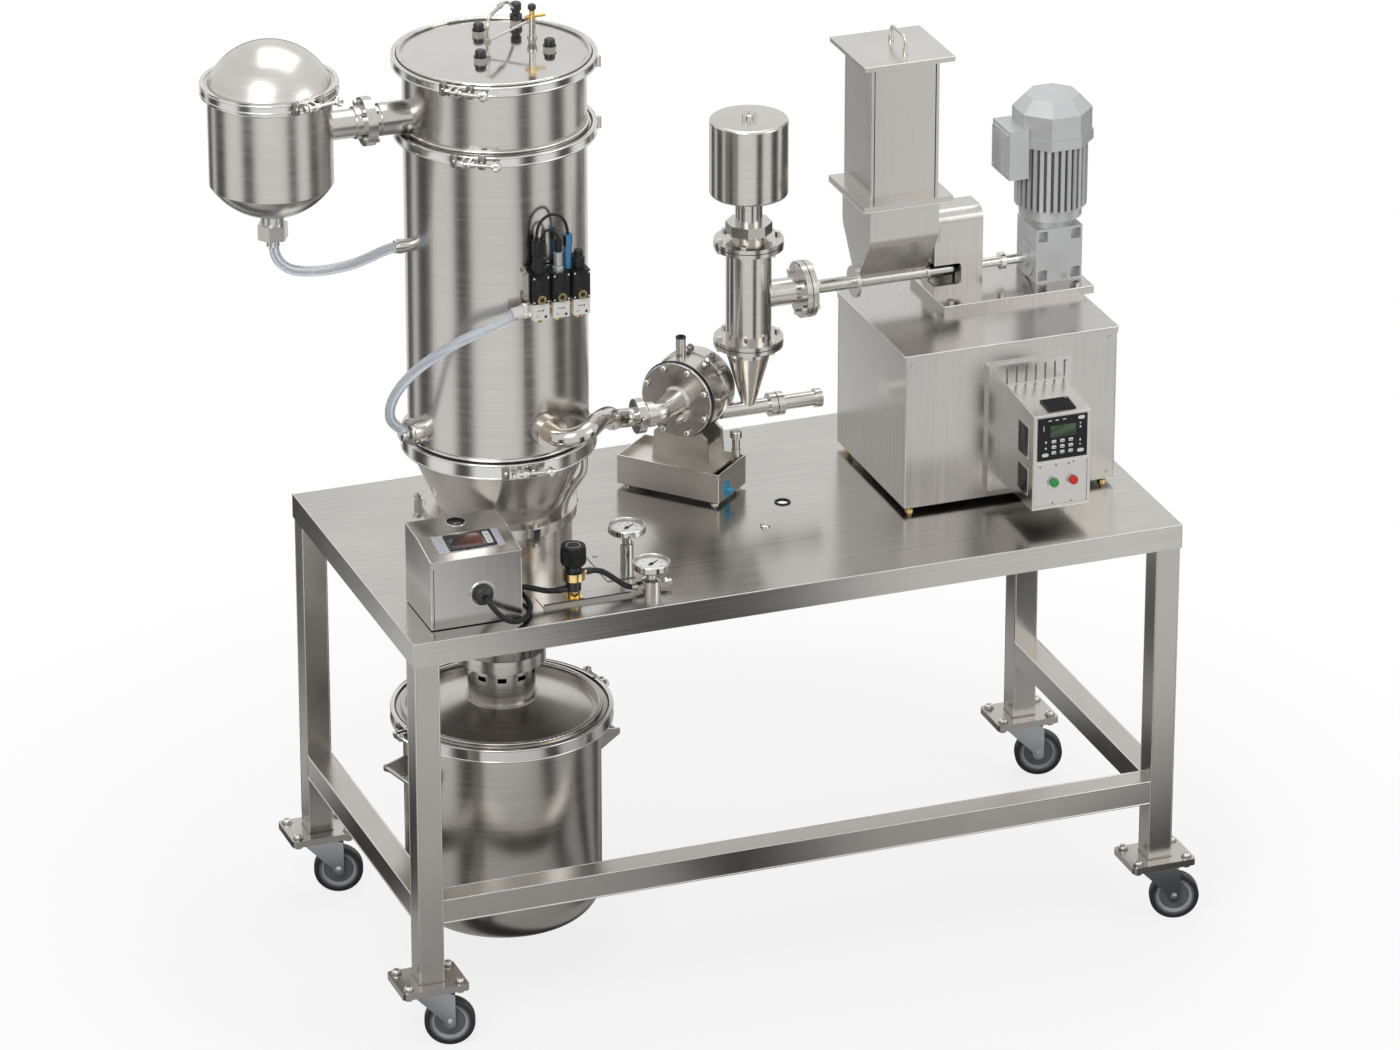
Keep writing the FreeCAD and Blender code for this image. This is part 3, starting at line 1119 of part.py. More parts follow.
def outlet_pipe():
    """Bent pipe from the mill's union to the clamped port low on the tower."""
    nose = nose_point()
    lean = math.radians(MILL_TURN)
    y_end = nose[1] - math.cos(lean) * 14
    start = polar(TOWER, TOWER_R + 21, MILL_PORT_TURN, MILL_PORT_Z)
    port_z = MILL_PORT_Z
    points = [start, polar(TOWER, TOWER_R + 47, MILL_PORT_TURN, port_z), (365, 104, port_z + 5),
              (393, 107, port_z + 12), (430, 150, port_z + 11), (468, 210, port_z - 9),
              (497, 268, MILL_Z + 97), (520, 328, MILL_Z + 62), (UNION_X - 81, y_end - 74, MILL_Z + 31),
              (UNION_X - 59, y_end - 17, MILL_Z + 9), (UNION_X - 32, y_end, MILL_Z),
              (UNION_X - 2, y_end, MILL_Z)]
    path, radii = route(points)
    ahead = V(*points[1]) - V(*points[0])
    outer = path.makePipeShell([Part.Wire([Part.makeCircle(OUTLET_R, V(*start), ahead)])], True, False)
    bore = OUTLET_R - OUTLET_WALL
    inner = path.makePipeShell([Part.Wire([Part.makeCircle(bore, V(*start), ahead)])], True, False)
    print("outlet radii", [round(r) for r in radii], outer.Volume / (math.pi * OUTLET_R ** 2 * path.Length))
    flange = ring(UNION_R, bore, (UNION_X - 9, y_end, MILL_Z), (UNION_X, y_end, MILL_Z))
    grip = ring(UNION_R + 5, UNION_R + RIM_GAP, (UNION_X - 8, y_end, MILL_Z), (UNION_X + 8, y_end, MILL_Z))
    screw = bar(4, (UNION_X, y_end - UNION_R - 12, MILL_Z + 6), (UNION_X, y_end - UNION_R - 3, MILL_Z + 6))
    knob = bar(7, (UNION_X, y_end - UNION_R - 18, MILL_Z + 6), (UNION_X, y_end - UNION_R - 12, MILL_Z + 6))
    node("outlet_pipe", outer.cut(inner).fuse(flange).removeSplitter(), fused(grip, screw, knob))


def feed_column():
    """Vent canister, flanged column with side port, and the cone over the injector."""
    x, y = COLUMN_X, FEED_Y
    centre = (x, y, 0)
    t = COLUMN_FLANGE_T
    bore = COLUMN_R - COLUMN_WALL
    column = fused(ring(COLUMN_R, bore, (x, y, COLUMN_LOW_Z), (x, y, COLUMN_TOP_Z)),
                   ring(COLUMN_FLANGE_R, bore, (x, y, COLUMN_LOW_Z), (x, y, COLUMN_LOW_Z + t)),
                   ring(COLUMN_FLANGE_R, bore, (x, y, COLUMN_TOP_Z - t), (x, y, COLUMN_TOP_Z)))
    side = bar(SIDE_PORT_R, (x + 30, y, FEED_Z), (SIDE_JOINT_X, y, FEED_Z))
    side = side.fuse(bar(SIDE_FLANGE_R, (SIDE_JOINT_X - SIDE_FLANGE_T, y, FEED_Z), (SIDE_JOINT_X, y, FEED_Z)))
    side = side.cut(bar(bore, (x, y, COLUMN_LOW_Z), (x, y, COLUMN_TOP_Z)))
    column = column.fuse(side).cut(bar(SIDE_PORT_R - 2, (x + 10, y, FEED_Z), (SIDE_JOINT_X, y, FEED_Z)))
    circle = COLUMN_FLANGE_R - 8
    for i in range(6):
        bx, by, _ = polar(centre, circle, 60 * i, 0)
        hole = BOLT_R + MOVE_GAP
        column = column.cut(bar(hole, (bx, by, COLUMN_LOW_Z), (bx, by, COLUMN_LOW_Z + t)))
        column = column.cut(bar(hole, (bx, by, COLUMN_TOP_Z - t), (bx, by, COLUMN_TOP_Z)))
    node("feed_column", column.removeSplitter())
    node("flange_bolts", *bolt_ring(6, circle, centre, COLUMN_LOW_Z - t, COLUMN_LOW_Z + t),
         *bolt_ring(6, circle, centre, COLUMN_TOP_Z - t, COLUMN_TOP_Z + t), *side_bolts())

    low = COLUMN_LOW_Z - t
    cone = turned([
        (bore - 2, low), (COLUMN_FLANGE_R, low), (COLUMN_FLANGE_R, COLUMN_LOW_Z), (bore, COLUMN_LOW_Z),
        (bore - 2, low + 1)], centre)
    mouth = INJECTOR_Z + 8
    funnel = turned([
        (11, mouth), (13, mouth), (COLUMN_R - 1, low - 18), (COLUMN_R - 1, low + 1), (bore - 2, low + 1),
        (bore - 2, low - 18)], centre)
    ends = [bar(INJECTOR_R, (COLUMN_X - 60, y, INJECTOR_Z), (INJECTOR_END_X, y, INJECTOR_Z))]
    for fx, radius in ((INJECTOR_JOINT_X - 16, 24), (INJECTOR_JOINT_X, 24), (INJECTOR_END_X - 14, 19)):
        ends.append(bar(radius, (fx, y, INJECTOR_Z), (fx + 14, y, INJECTOR_Z)))
    injector = fused(*ends)
    for i in range(6):
        bx, by, _ = polar(centre, circle, 60 * i, 0)
        cone = cone.cut(bar(BOLT_R + MOVE_GAP, (bx, by, low), (bx, by, COLUMN_LOW_Z)))
    funnel = fused(cone, funnel).cut(injector)
    end = (INJECTOR_END_X, y, INJECTOR_Z)
    step = INJECTOR_END_X - INLET_DEPTH
    inlet = block((step, y - 30, INJECTOR_Z - 30), (INJECTOR_END_X, y + 30, INJECTOR_Z + 30))
    spigot = injector.common(inlet).cut(bar(INLET_R, (step, y, INJECTOR_Z), end))
    injector = injector.cut(inlet).cut(bar(INJECTOR_BORE_R, (COLUMN_X - 70, y, INJECTOR_Z), end))
    injector = injector.cut(bar(11, (x, y, INJECTOR_Z), (x, y, INJECTOR_Z + INJECTOR_R)))
    seat = turned([(0, 0), (DRUM_R, 0), (DRUM_R, DRUM_L), (0, DRUM_L)],
                  (0, -COVER_FRONT + COVER_T, MILL_Z), (0, 1, 0))
    node("column_cone", funnel, injector.cut(mill_frame(seat)), spigot)

    plate = COLUMN_TOP_Z
    bottom = CANISTER_LOW_Z
    roof = CANISTER_TOP_Z
    hub = VENT_NECK_R + 6
    vent = turned([
        (VENT_NECK_R - 2, plate), (COLUMN_FLANGE_R, plate), (COLUMN_FLANGE_R, plate + t), (hub, plate + t),
        (hub, plate + t + 10), (VENT_NECK_R, plate + t + 14), (VENT_NECK_R, bottom), (CANISTER_R, bottom, 6),
        (CANISTER_R, roof, 6), (0, roof), (0, roof - 2), (CANISTER_R - 2, roof - 2, 4),
        (CANISTER_R - 2, bottom + 2, 4), (VENT_NECK_R - 2, bottom + 2)], centre)
    for i in range(6):
        bx, by, _ = polar(centre, circle, 60 * i, 0)
        vent = vent.cut(bar(BOLT_R + MOVE_GAP, (bx, by, plate), (bx, by, plate + t)))
    nut = polygon(8, 86, plate + t + 14)
    nut = Part.Face(nut).extrude(V(0, 0, 22))
    nut.translate(V(x, y, 0))
    nut = nut.cut(bar(VENT_NECK_R, (x, y, plate), (x, y, CANISTER_LOW_Z)))
    nub = [turned([(0, 0), (7, 0), (7, 6), (3, 8), (3, 16), (0, 16)], (x, y, CANISTER_TOP_Z))]
    for i in (-1, 1):
        nub.append(bar(2.5, (x + 12 * i, y, CANISTER_TOP_Z), (x + 12 * i, y, CANISTER_TOP_Z + 12)))
    node("vent_canister", vent, nut, *nub)


def side_bolts():
    """Bolt heads on both faces of the side port's flange pair."""
    parts = []
    low = SIDE_JOINT_X - SIDE_FLANGE_T
    high = SIDE_JOINT_X + SIDE_FLANGE_T
    for i in range(6):
        lean = math.radians(30 + 60 * i)
        by = FEED_Y + (SIDE_FLANGE_R - 9) * math.cos(lean)
        bz = FEED_Z + (SIDE_FLANGE_R - 9) * math.sin(lean)
        parts.append(hexagon(BOLT_ACROSS, (low - BOLT_HEAD, by, bz), (low, by, bz)))
        parts.append(hexagon(BOLT_ACROSS, (high, by, bz), (high + BOLT_HEAD, by, bz)))
    return parts


def square(x, y, width, low, high):
    """Square block centred in plan."""
    half = width / 2
    return block((x - half, y - half, low), (x + half, y + half, high))


def sheet_frame(x, y, width, wall, low, high):
    """Four welded strips round a square, centred in plan."""
    half = width / 2
    inner = half - wall
    return [
        block((x - half, y - half, low), (x + half, y - inner, high)),
        block((x - half, y + inner, low), (x + half, y + half, high)),
        block((x - half, y - inner, low), (x - inner, y + inner, high)),
        block((x + inner, y - inner, low), (x + half, y + inner, high)),
    ]


def trough_outline(y, inset):
    """Section of the trough across the feed screw, a wall's thickness further in."""
    wide = TROUGH_HALF - inset
    foot = TROUGH_FOOT_HALF - inset
    low = FEED_TUBE_R - 5.5 - inset * 0.75
    knee = TROUGH_BEND - inset / 2
    return [(y - wide, HOPPER_FLANGE_Z), (y - wide, TROUGH_KNEE_Z, knee), (y - foot, TROUGH_FOOT_Z),
            (y - low, FEED_Z), (y + low, FEED_Z), (y + foot, TROUGH_FOOT_Z), (y + wide, TROUGH_KNEE_Z, knee),
            (y + wide, HOPPER_FLANGE_Z)]


def feeder():
    """Hopper over a trough and feed tube, its lid, the screw and its bearing cover."""
    x, y = HOPPER_X, FEED_Y
    wall = HOPPER_WALL
    flange_top = HOPPER_FLANGE_Z + HOPPER_FLANGE_T
    walls = sheet_frame(x, y, HOPPER_W, wall, flange_top, HOPPER_TOP_Z)
    rest = (HOPPER_FLANGE_W - HOPPER_W) / 2 + wall
    flange = sheet_frame(x, y, HOPPER_FLANGE_W, rest, HOPPER_FLANGE_Z, flange_top)

    left = x - TROUGH_L / 2
    right = x + TROUGH_L / 2
    outer = trough_outline(y, 0.0)
    tube_space = bar(FEED_TUBE_R, (left, y, FEED_Z), (right, y, FEED_Z))
    ends = [prism(outer, left, left + wall, "x").cut(tube_space),
            prism(outer, right - wall, right, "x").cut(tube_space)]
    hollow = prism(trough_outline(y, TROUGH_WALL), left + wall, right - wall, "x")
    sheets = prism(outer, left + wall, right - wall, "x").cut(hollow).cut(tube_space)
    sheets = [max(s.Solids, key=lambda solid: solid.Volume) for s in (
        sheets.common(block((left, y - 90, FEED_Z), (right, y, HOPPER_FLANGE_Z))),
        sheets.common(block((left, y, FEED_Z), (right, y + 90, HOPPER_FLANGE_Z))))]
    start = SIDE_JOINT_X
    tube = fused(bar(FEED_TUBE_R, (start, y, FEED_Z), (FEED_TUBE_END_X, y, FEED_Z)),
                 bar(SIDE_FLANGE_R, (start, y, FEED_Z), (start + SIDE_FLANGE_T, y, FEED_Z)),
                 bar(TUBE_RING_R, (left - 7, y, FEED_Z), (left, y, FEED_Z)),
                 bar(TUBE_STOP_R, (right + 2, y, FEED_Z), (right + 8, y, FEED_Z)))
    tube = tube.cut(hollow).cut(bar(FEED_TUBE_BORE_R, (start, y, FEED_Z), (FEED_TUBE_END_X, y, FEED_Z)))
    node("feed_hopper", *walls, *flange, *ends, *sheets, tube)

    lid_top = HOPPER_TOP_Z + wall
    lid = square(x, y, HOPPER_FLANGE_W, HOPPER_TOP_Z, lid_top)
    edge = sheet_frame(x, y, HOPPER_FLANGE_W, wall, lid_top - LID_T, HOPPER_TOP_Z)
    handle = [(x + 12, y + 38, lid_top), (x + 12, y + 38, lid_top + 16), (x + 12, y + 33, lid_top + 31),
              (x + 12, y - 33, lid_top + 31), (x + 12, y - 38, lid_top + 16), (x + 12, y - 38, lid_top)]
    wire = lid_wire(handle)
    sleeves = [turned([(3.2, 0), (6, 0), (5, 10), (3.2, 10)], (x + 12, y + dy, lid_top)) for dy in (-38, 38)]
    node("hopper_lid", lid, *edge, wire, *sleeves)
    node("feed_screw", feed_screw())

    low = CABINET_TOP_Z + PLATE_T
    half = COVER_DEPTH / 2
    front, back = y - half, y + half
    cover = prism([(front, low), (front, COVER_TOP_Z, 26), (back, COVER_TOP_Z), (back, low)],
                  COVER_LEFT_X, COVER_RIGHT_X, "x")
    hollow = prism([(front + 2.5, low), (front + 2.5, COVER_TOP_Z - 2.5, 24), (back - 2.5, COVER_TOP_Z - 2.5),
                    (back - 2.5, low)], COVER_LEFT_X + 2.5, COVER_RIGHT_X - 2.5, "x")
    cover = cover.cut(hollow)
    far = COVER_LEFT_X + 58
    window = prism([(COVER_LEFT_X - 5, FEED_Z - 22), (far, FEED_Z - 22, 8), (far, FEED_Z + 22, 8),
                    (COVER_LEFT_X - 5, FEED_Z + 22)], front - 5, y + 20, "y")
    cover = cover.cut(window)
    cover = cover.cut(bar(SHAFT_R + 2, (COVER_RIGHT_X - 10, y, FEED_Z), (COVER_RIGHT_X + 5, y, FEED_Z)))
    latch = prism([(COVER_LEFT_X + 10, COVER_TOP_Z - 62), (COVER_LEFT_X + 74, COVER_TOP_Z - 62, 6),
                   (COVER_LEFT_X + 70, COVER_TOP_Z - 34), (COVER_LEFT_X + 10, COVER_TOP_Z - 34)],
                  front - 1.5, front + 0.5, "y")
    bearing = block((COVER_RIGHT_X - 36, y - 24, low), (COVER_RIGHT_X - 12, y + 24, FEED_Z + 22))
    bearing = bearing.cut(bar(SHAFT_R + RUN_FIT, (COVER_RIGHT_X - 40, y, FEED_Z), (COVER_RIGHT_X, y, FEED_Z)))
    node("bearing_cover", cover.fuse(latch).removeSplitter(), bearing)


def lid_wire(points):
    """Bent wire handle."""
    path, _ = route(points)
    circle = Part.makeCircle(3.2, V(*points[0]), V(*points[1]) - V(*points[0]))
    return path.makePipeShell([Part.Wire([circle])], True, False)


def feed_screw():
    """Screw with a helical flight in the tube and trough, on the drive shaft."""
    y, z = FEED_Y, FEED_Z
    start = SIDE_JOINT_X + 4
    end = HOPPER_X + 62
    turns = int((end - start - 10) / SCREW_PITCH)
    helix = Part.makeHelix(SCREW_PITCH, turns * SCREW_PITCH, SCREW_CORE_R)
    inner = SCREW_CORE_R - 1
    corners = ((inner, -2), (SCREW_FLIGHT_R, -0.8), (SCREW_FLIGHT_R, 0.8), (inner, 2), (inner, -2))
    blade = Part.makePolygon([V(reach, 0, side) for reach, side in corners])
    flight = Part.Wire(helix).makePipeShell([blade], True, True)
    flight.Placement = FreeCAD.Placement(V(start + 5, y, z), FreeCAD.Rotation(UP, V(1, 0, 0)))
    end_x = GEARBOX_LEFT_X + 26
    core = bar(SCREW_CORE_R, (start, y, z), (FEED_TUBE_END_X + 4, y, z))
    shaft = bar(SHAFT_R, (FEED_TUBE_END_X + 3, y, z), (end_x, y, z))
    middle = (COVER_RIGHT_X + GEARBOX_LEFT_X) / 2
    collar = bar(17.5, (middle - 5, y, z), (middle + 5, y, z))
    return fused(core, shaft, collar, flight)


def drive():
    """Base plate on the cabinet, right-angle gearbox and finned motor."""
    low = CABINET_TOP_Z + PLATE_T
    plate = block((PLATE_LEFT_X, PLATE_FRONT_Y, CABINET_TOP_Z), (PLATE_RIGHT_X, PLATE_BACK_Y, low))
    screws = []
    for px in (PLATE_LEFT_X + 20, PLATE_LEFT_X + 130, PLATE_RIGHT_X - 30):
        for py in (PLATE_FRONT_Y + 18, PLATE_BACK_Y - 18):
            screws.append(hexagon(13, (px, py, low), (px, py, low + 6)))
    node("cabinet", plate, *screws)

    x0, x1 = GEARBOX_LEFT_X, GEARBOX_LEFT_X + GEARBOX_W
    half = GEARBOX_D / 2
    y0, y1 = FEED_Y - half, FEED_Y + half
    top = low + GEARBOX_H
    box = block((x0, y0, low), (x1, y1, top))
    for px in (x0 + 4, x1 - 24):
        for pz in (low + 5, top - 27):
            box = box.cut(block((px, y0, pz), (px + 20, y0 + 14, pz + 22)))
    hub = bar(HUB_R, (x0 - HUB_T, FEED_Y, FEED_Z), (x0, FEED_Y, FEED_Z))
    boss = bar(38, (x0 - 3, FEED_Y, FEED_Z), (x0, FEED_Y, FEED_Z))
    box = fused(box, hub, boss)
    box = box.cut(bar(SHAFT_R + RUN_FIT, (x0 - HUB_T, FEED_Y, FEED_Z), (x0 + 30, FEED_Y, FEED_Z)))
    node("gearbox", box)

    centre = ((x0 + x1) / 2, FEED_Y, 0)
    base = turned([
        (0, top), (48, top), (48, top + 12), (54, top + 12), (63, top + 16), (63, top + 38),
        (0, top + 38)], centre)
    fin_low, fin_high = top + 40, top + 175
    tips = []
    root = MOTOR_R - MOTOR_FIN
    for i in range(MOTOR_FINS):
        for step, radius in ((0.0, root), (0.3, root), (0.38, MOTOR_R), (0.92, MOTOR_R)):
            tips.append(V(*polar(centre, radius, 360 * (i + step) / MOTOR_FINS, fin_low)))
    tips.append(tips[0])
    fins = Part.Face(Part.makePolygon(tips)).extrude(V(0, 0, fin_high - fin_low))
    lower = turned([
        (0, top + 38), (66, top + 38), (70, fin_low), (70, fin_low + 4), (0, fin_low + 4)], centre)
    belt = Part.Face(polygon(8, 2 * MOTOR_R + 8, fin_high)).extrude(V(0, 0, 21))
    wall_top = fin_high + 68
    cowl = Part.Face(polygon(8, 2 * MOTOR_R + 2, fin_high + 21)).extrude(V(0, 0, wall_top - fin_high - 21))
    edges = [polygon(8, 2 * MOTOR_R + 2, wall_top), polygon(8, 2 * MOTOR_R - 46, wall_top + 27)]
    crown = Part.makeLoft(edges, True, True)
    for shape in (belt, cowl, crown):
        shape.translate(V(centre[0], centre[1], 0))
    motor = fused(base, lower, fins, belt, cowl, crown)
    tbox_x = centre[0] - MOTOR_R
    tbox = block((tbox_x - 36, FEED_Y - 44, top + 112), (tbox_x + 6, FEED_Y + 44, top + 215))
    tbox = tbox.cut(fins).cut(belt).cut(cowl)
    tbox = max(tbox.Solids, key=lambda s: s.Volume)
    node("motor", motor, tbox)


def cabinet():
    """Sheet cabinet with a folded cover on four small feet."""
    low = TABLE_H + CABINET_FOOT
    x0, x1, y0, y1 = CABINET_LEFT_X, CABINET_RIGHT_X, CABINET_FRONT_Y, CABINET_BACK_Y
    wall = CABINET_WALL
    top = CABINET_TOP_Z
    cover = block((x0 - wall, y0 - wall, top - 14), (x1 + wall, y1 + wall, top))
    cover = cover.cut(block((x0, y0, top - 14), (x1, y1, top - wall)))
    case = block((x0, y0, low), (x1, y1, top - wall))
    case = case.cut(block((x0 + wall, y0 + wall, low + wall), (x1 - wall, y1 - wall, top - wall)))
    feet = []
    for fx in (x0 + 18, x1 - 18):
        for fy in (y0 + 18, y1 - 18):
            foot = [(0, 0), (9, 0), (9, 4), (5, 5), (5, CABINET_FOOT), (0, CABINET_FOOT)]
            feet.append(turned(foot, (fx, fy, TABLE_H)))
    screws = []
    for sx in (x0 + 14, x1 - 14):
        for sz in (low + 14, top - 22):
            screws.append(bar(4, (sx, y0 - 2, sz), (sx, y0, sz)))
    node("cabinet", case, cover, *feet, *screws, *NODES["cabinet"])


def controller():
    """Slotted mounting plate, sheet enclosure, key panel and the two push buttons."""
    back = CABINET_FRONT_Y
    face = back - SINK_T
    sink = block((SINK_LEFT_X, face, SINK_LOW_Z), (SINK_RIGHT_X, back, SINK_TOP_Z))
    pitch = (CASE_RIGHT_X - CASE_LEFT_X) / 6
    for i in range(7):
        gx = CASE_LEFT_X + i * pitch
        sink = sink.cut(block((gx - 2, face - 1, CASE_BACK_TOP_Z + 2), (gx + 2, back - 4, SINK_TOP_Z - 6)))
    x0, x1 = CASE_LEFT_X, CASE_RIGHT_X
    front = CASE_FRONT_Y
    side = [(front, CASE_LOW_Z), (face, CASE_LOW_Z), (face, CASE_BACK_TOP_Z), (front, CASE_FRONT_TOP_Z)]
    case = prism(side, x0, x1, "x")
    t = CASE_WALL
    void = [(front + t + 14, CASE_LOW_Z + t), (face - t, CASE_LOW_Z + t), (face - t, CASE_BACK_TOP_Z - t - 1),
            (front + t + 14, CASE_FRONT_TOP_Z - t)]
    case = case.cut(prism(void, x0 + t, x1 - t, "x"))
    for z0, z1 in ((CASE_LOW_Z + 26, CASE_LOW_Z + 78), (CASE_LOW_Z + 104, CASE_LOW_Z + 168)):
        case = case.cut(block((x0 - 1, front + 26, z0), (x0 + t + 1, front + 72, z1)))
    low_panel = block((x0 + 6, front, CASE_LOW_Z + 6), (x1 - 6, front + 1.5, KEY_PANEL_LOW_Z - 7))
    case = case.cut(low_panel)
    for bx in (GREEN_X, RED_X):
        case = case.cut(bar(BUTTON_R - 2 + RUN_FIT, (bx, front, BUTTON_Z), (bx, front + 30, BUTTON_Z)))
    bezels = []
    for bx in (GREEN_X, RED_X):
        back_end = (bx, front + 1.5, BUTTON_Z)
        bezels.append(ring(BUTTON_R + 2.5, BUTTON_R + MOVE_GAP, back_end, (bx, front - 3, BUTTON_Z)))
    heads = []
    for sx in (SINK_LEFT_X + 14, SINK_RIGHT_X - 10):
        for sz in (SINK_LOW_Z + 12, SINK_TOP_Z - 12):
            heads.append(bar(5, (sx, face - 3, sz), (sx, face, sz)))
    vent_top = CASE_FRONT_TOP_Z + 6
    slope = (CASE_BACK_TOP_Z - CASE_FRONT_TOP_Z) / (face - front)
    node("controller_case", sink, case, *bezels, *heads)

    key = block((x0 + 9, front - 2, KEY_PANEL_LOW_Z), (x1 - 9, front, CASE_FRONT_TOP_Z - 6))
    v0, v1 = front + 12, front + 56
    vent = prism([(v0, CASE_FRONT_TOP_Z + slope * 12), (v1, CASE_FRONT_TOP_Z + slope * 56),
                  (v1, vent_top + 2 + slope * 12), (v0, vent_top - 2)], x0 + 36, x1 - 28, "x")
    node("controller_panel", key, vent)
    for name, bx in (("green_button", GREEN_X), ("red_button", RED_X)):
        stem = bar(BUTTON_R - 2, (bx, front - 4, BUTTON_Z), (bx, front + 20, BUTTON_Z))
        head = turned([(0, 0), (BUTTON_R, 0), (BUTTON_R, 5, 2), (0, 5)],
                      (bx, front - 3.5 + BUTTON_TRAVEL - 3, BUTTON_Z), (0, -1, 0))
        node(name, fused(stem, head))


def control_box():
    """Box with a sloping lid, display, recessed button, and cable gland."""
    x0, x1, y0, y1 = BOX_LEFT_X, BOX_RIGHT_X, BOX_FRONT_Y, BOX_BACK_Y
    wall = BOX_WALL
    front_top = BOX_FRONT_TOP_Z
    bend = y0 + 0.53 * (y1 - y0)
    bend_z = BOX_TOP_Z - 4
    side = [(y0, BOX_LOW_Z), (y1, BOX_LOW_Z), (y1, BOX_TOP_Z), (bend, bend_z), (y0, front_top)]
    case = prism(side, x0, x1, "x")
    void = [(y0 + wall, BOX_LOW_Z + wall), (y1 - wall, BOX_LOW_Z + wall), (y1 - wall, BOX_TOP_Z - wall - 0.5),
            (bend, bend_z - wall), (y0 + wall, front_top - wall)]
    case = case.cut(prism(void, x0 + wall, x1 - wall, "x"))
    lip = block((x0, y0 - 2, front_top - BOX_LIP), (x1, y0, front_top))
    well_low = BOX_TOP_Z - 12
    bx, by = BOX_BUTTON_X, BOX_BUTTON_Y
    well = bar(BOX_BUTTON_R + 3, (bx, by, well_low - 2), (bx, by, BOX_TOP_Z - 1))
    bore = bar(BOX_BUTTON_R + MOVE_GAP, (bx, by, well_low), (bx, by, BOX_TOP_Z + 1))
    hole = bar(6 + RUN_FIT, (bx, by, well_low - 3), (bx, by, BOX_TOP_Z))
    case = fused(case, lip, well).cut(bore).cut(hole)
    case = case.cut(bar(8, (GLAND_X, y0 - 5, GLAND_Z), (GLAND_X, y0 + 5, GLAND_Z)))
    feet = []
    for fx in (x0 + 14, x1 - 14):
        for fy in (y0 + 14, y1 - 14):
            feet.append(bar(7, (fx, fy, TABLE_H), (fx, fy, BOX_LOW_Z)))
    gland = turned([
        (CABLE_R, 0), (GLAND_R, 0), (GLAND_R, 4), (21, 4), (21, 8), (17, 16, 5), (8, 20), (CABLE_R, 20)],
        (GLAND_X, y0, GLAND_Z), (0, -1, 0))
    entries = []
    for entry in (CABLE_ENTRY, AIR_ENTRY):
        entries.append(bar(SIDE_ENTRY_R, (x1, *entry), (x1 + SIDE_ENTRY_T, *entry)))
    node("control_box", case, *feet, gland, *entries)

    slope = (bend_z - front_top) / (bend - y0)

    def lid_z(depth):
        return front_top + slope * (depth - y0)

    near, far = y0 + 23, bend - 4
    def slab(near, far, low, high):
        return [(near, lid_z(near) + low), (far, lid_z(far) + low), (far, lid_z(far) + high),
                (near, lid_z(near) + high)]

    surround = prism(slab(near, far, 0, 1), x0 + 26, x1 - 24, "x")
    screen = prism(slab(near + 3, far - 4, 1, 4), x0 + 49, x1 - 40, "x")
    node("control_display", surround, screen)
    button = fused(bar(6, (bx, by, well_low - 12), (bx, by, well_low + 4)),
                   turned([(0, 4), (BOX_BUTTON_R, 4), (BOX_BUTTON_R, 8, 1.5), (0, 8)], (bx, by, well_low)))
    node("control_button", button)


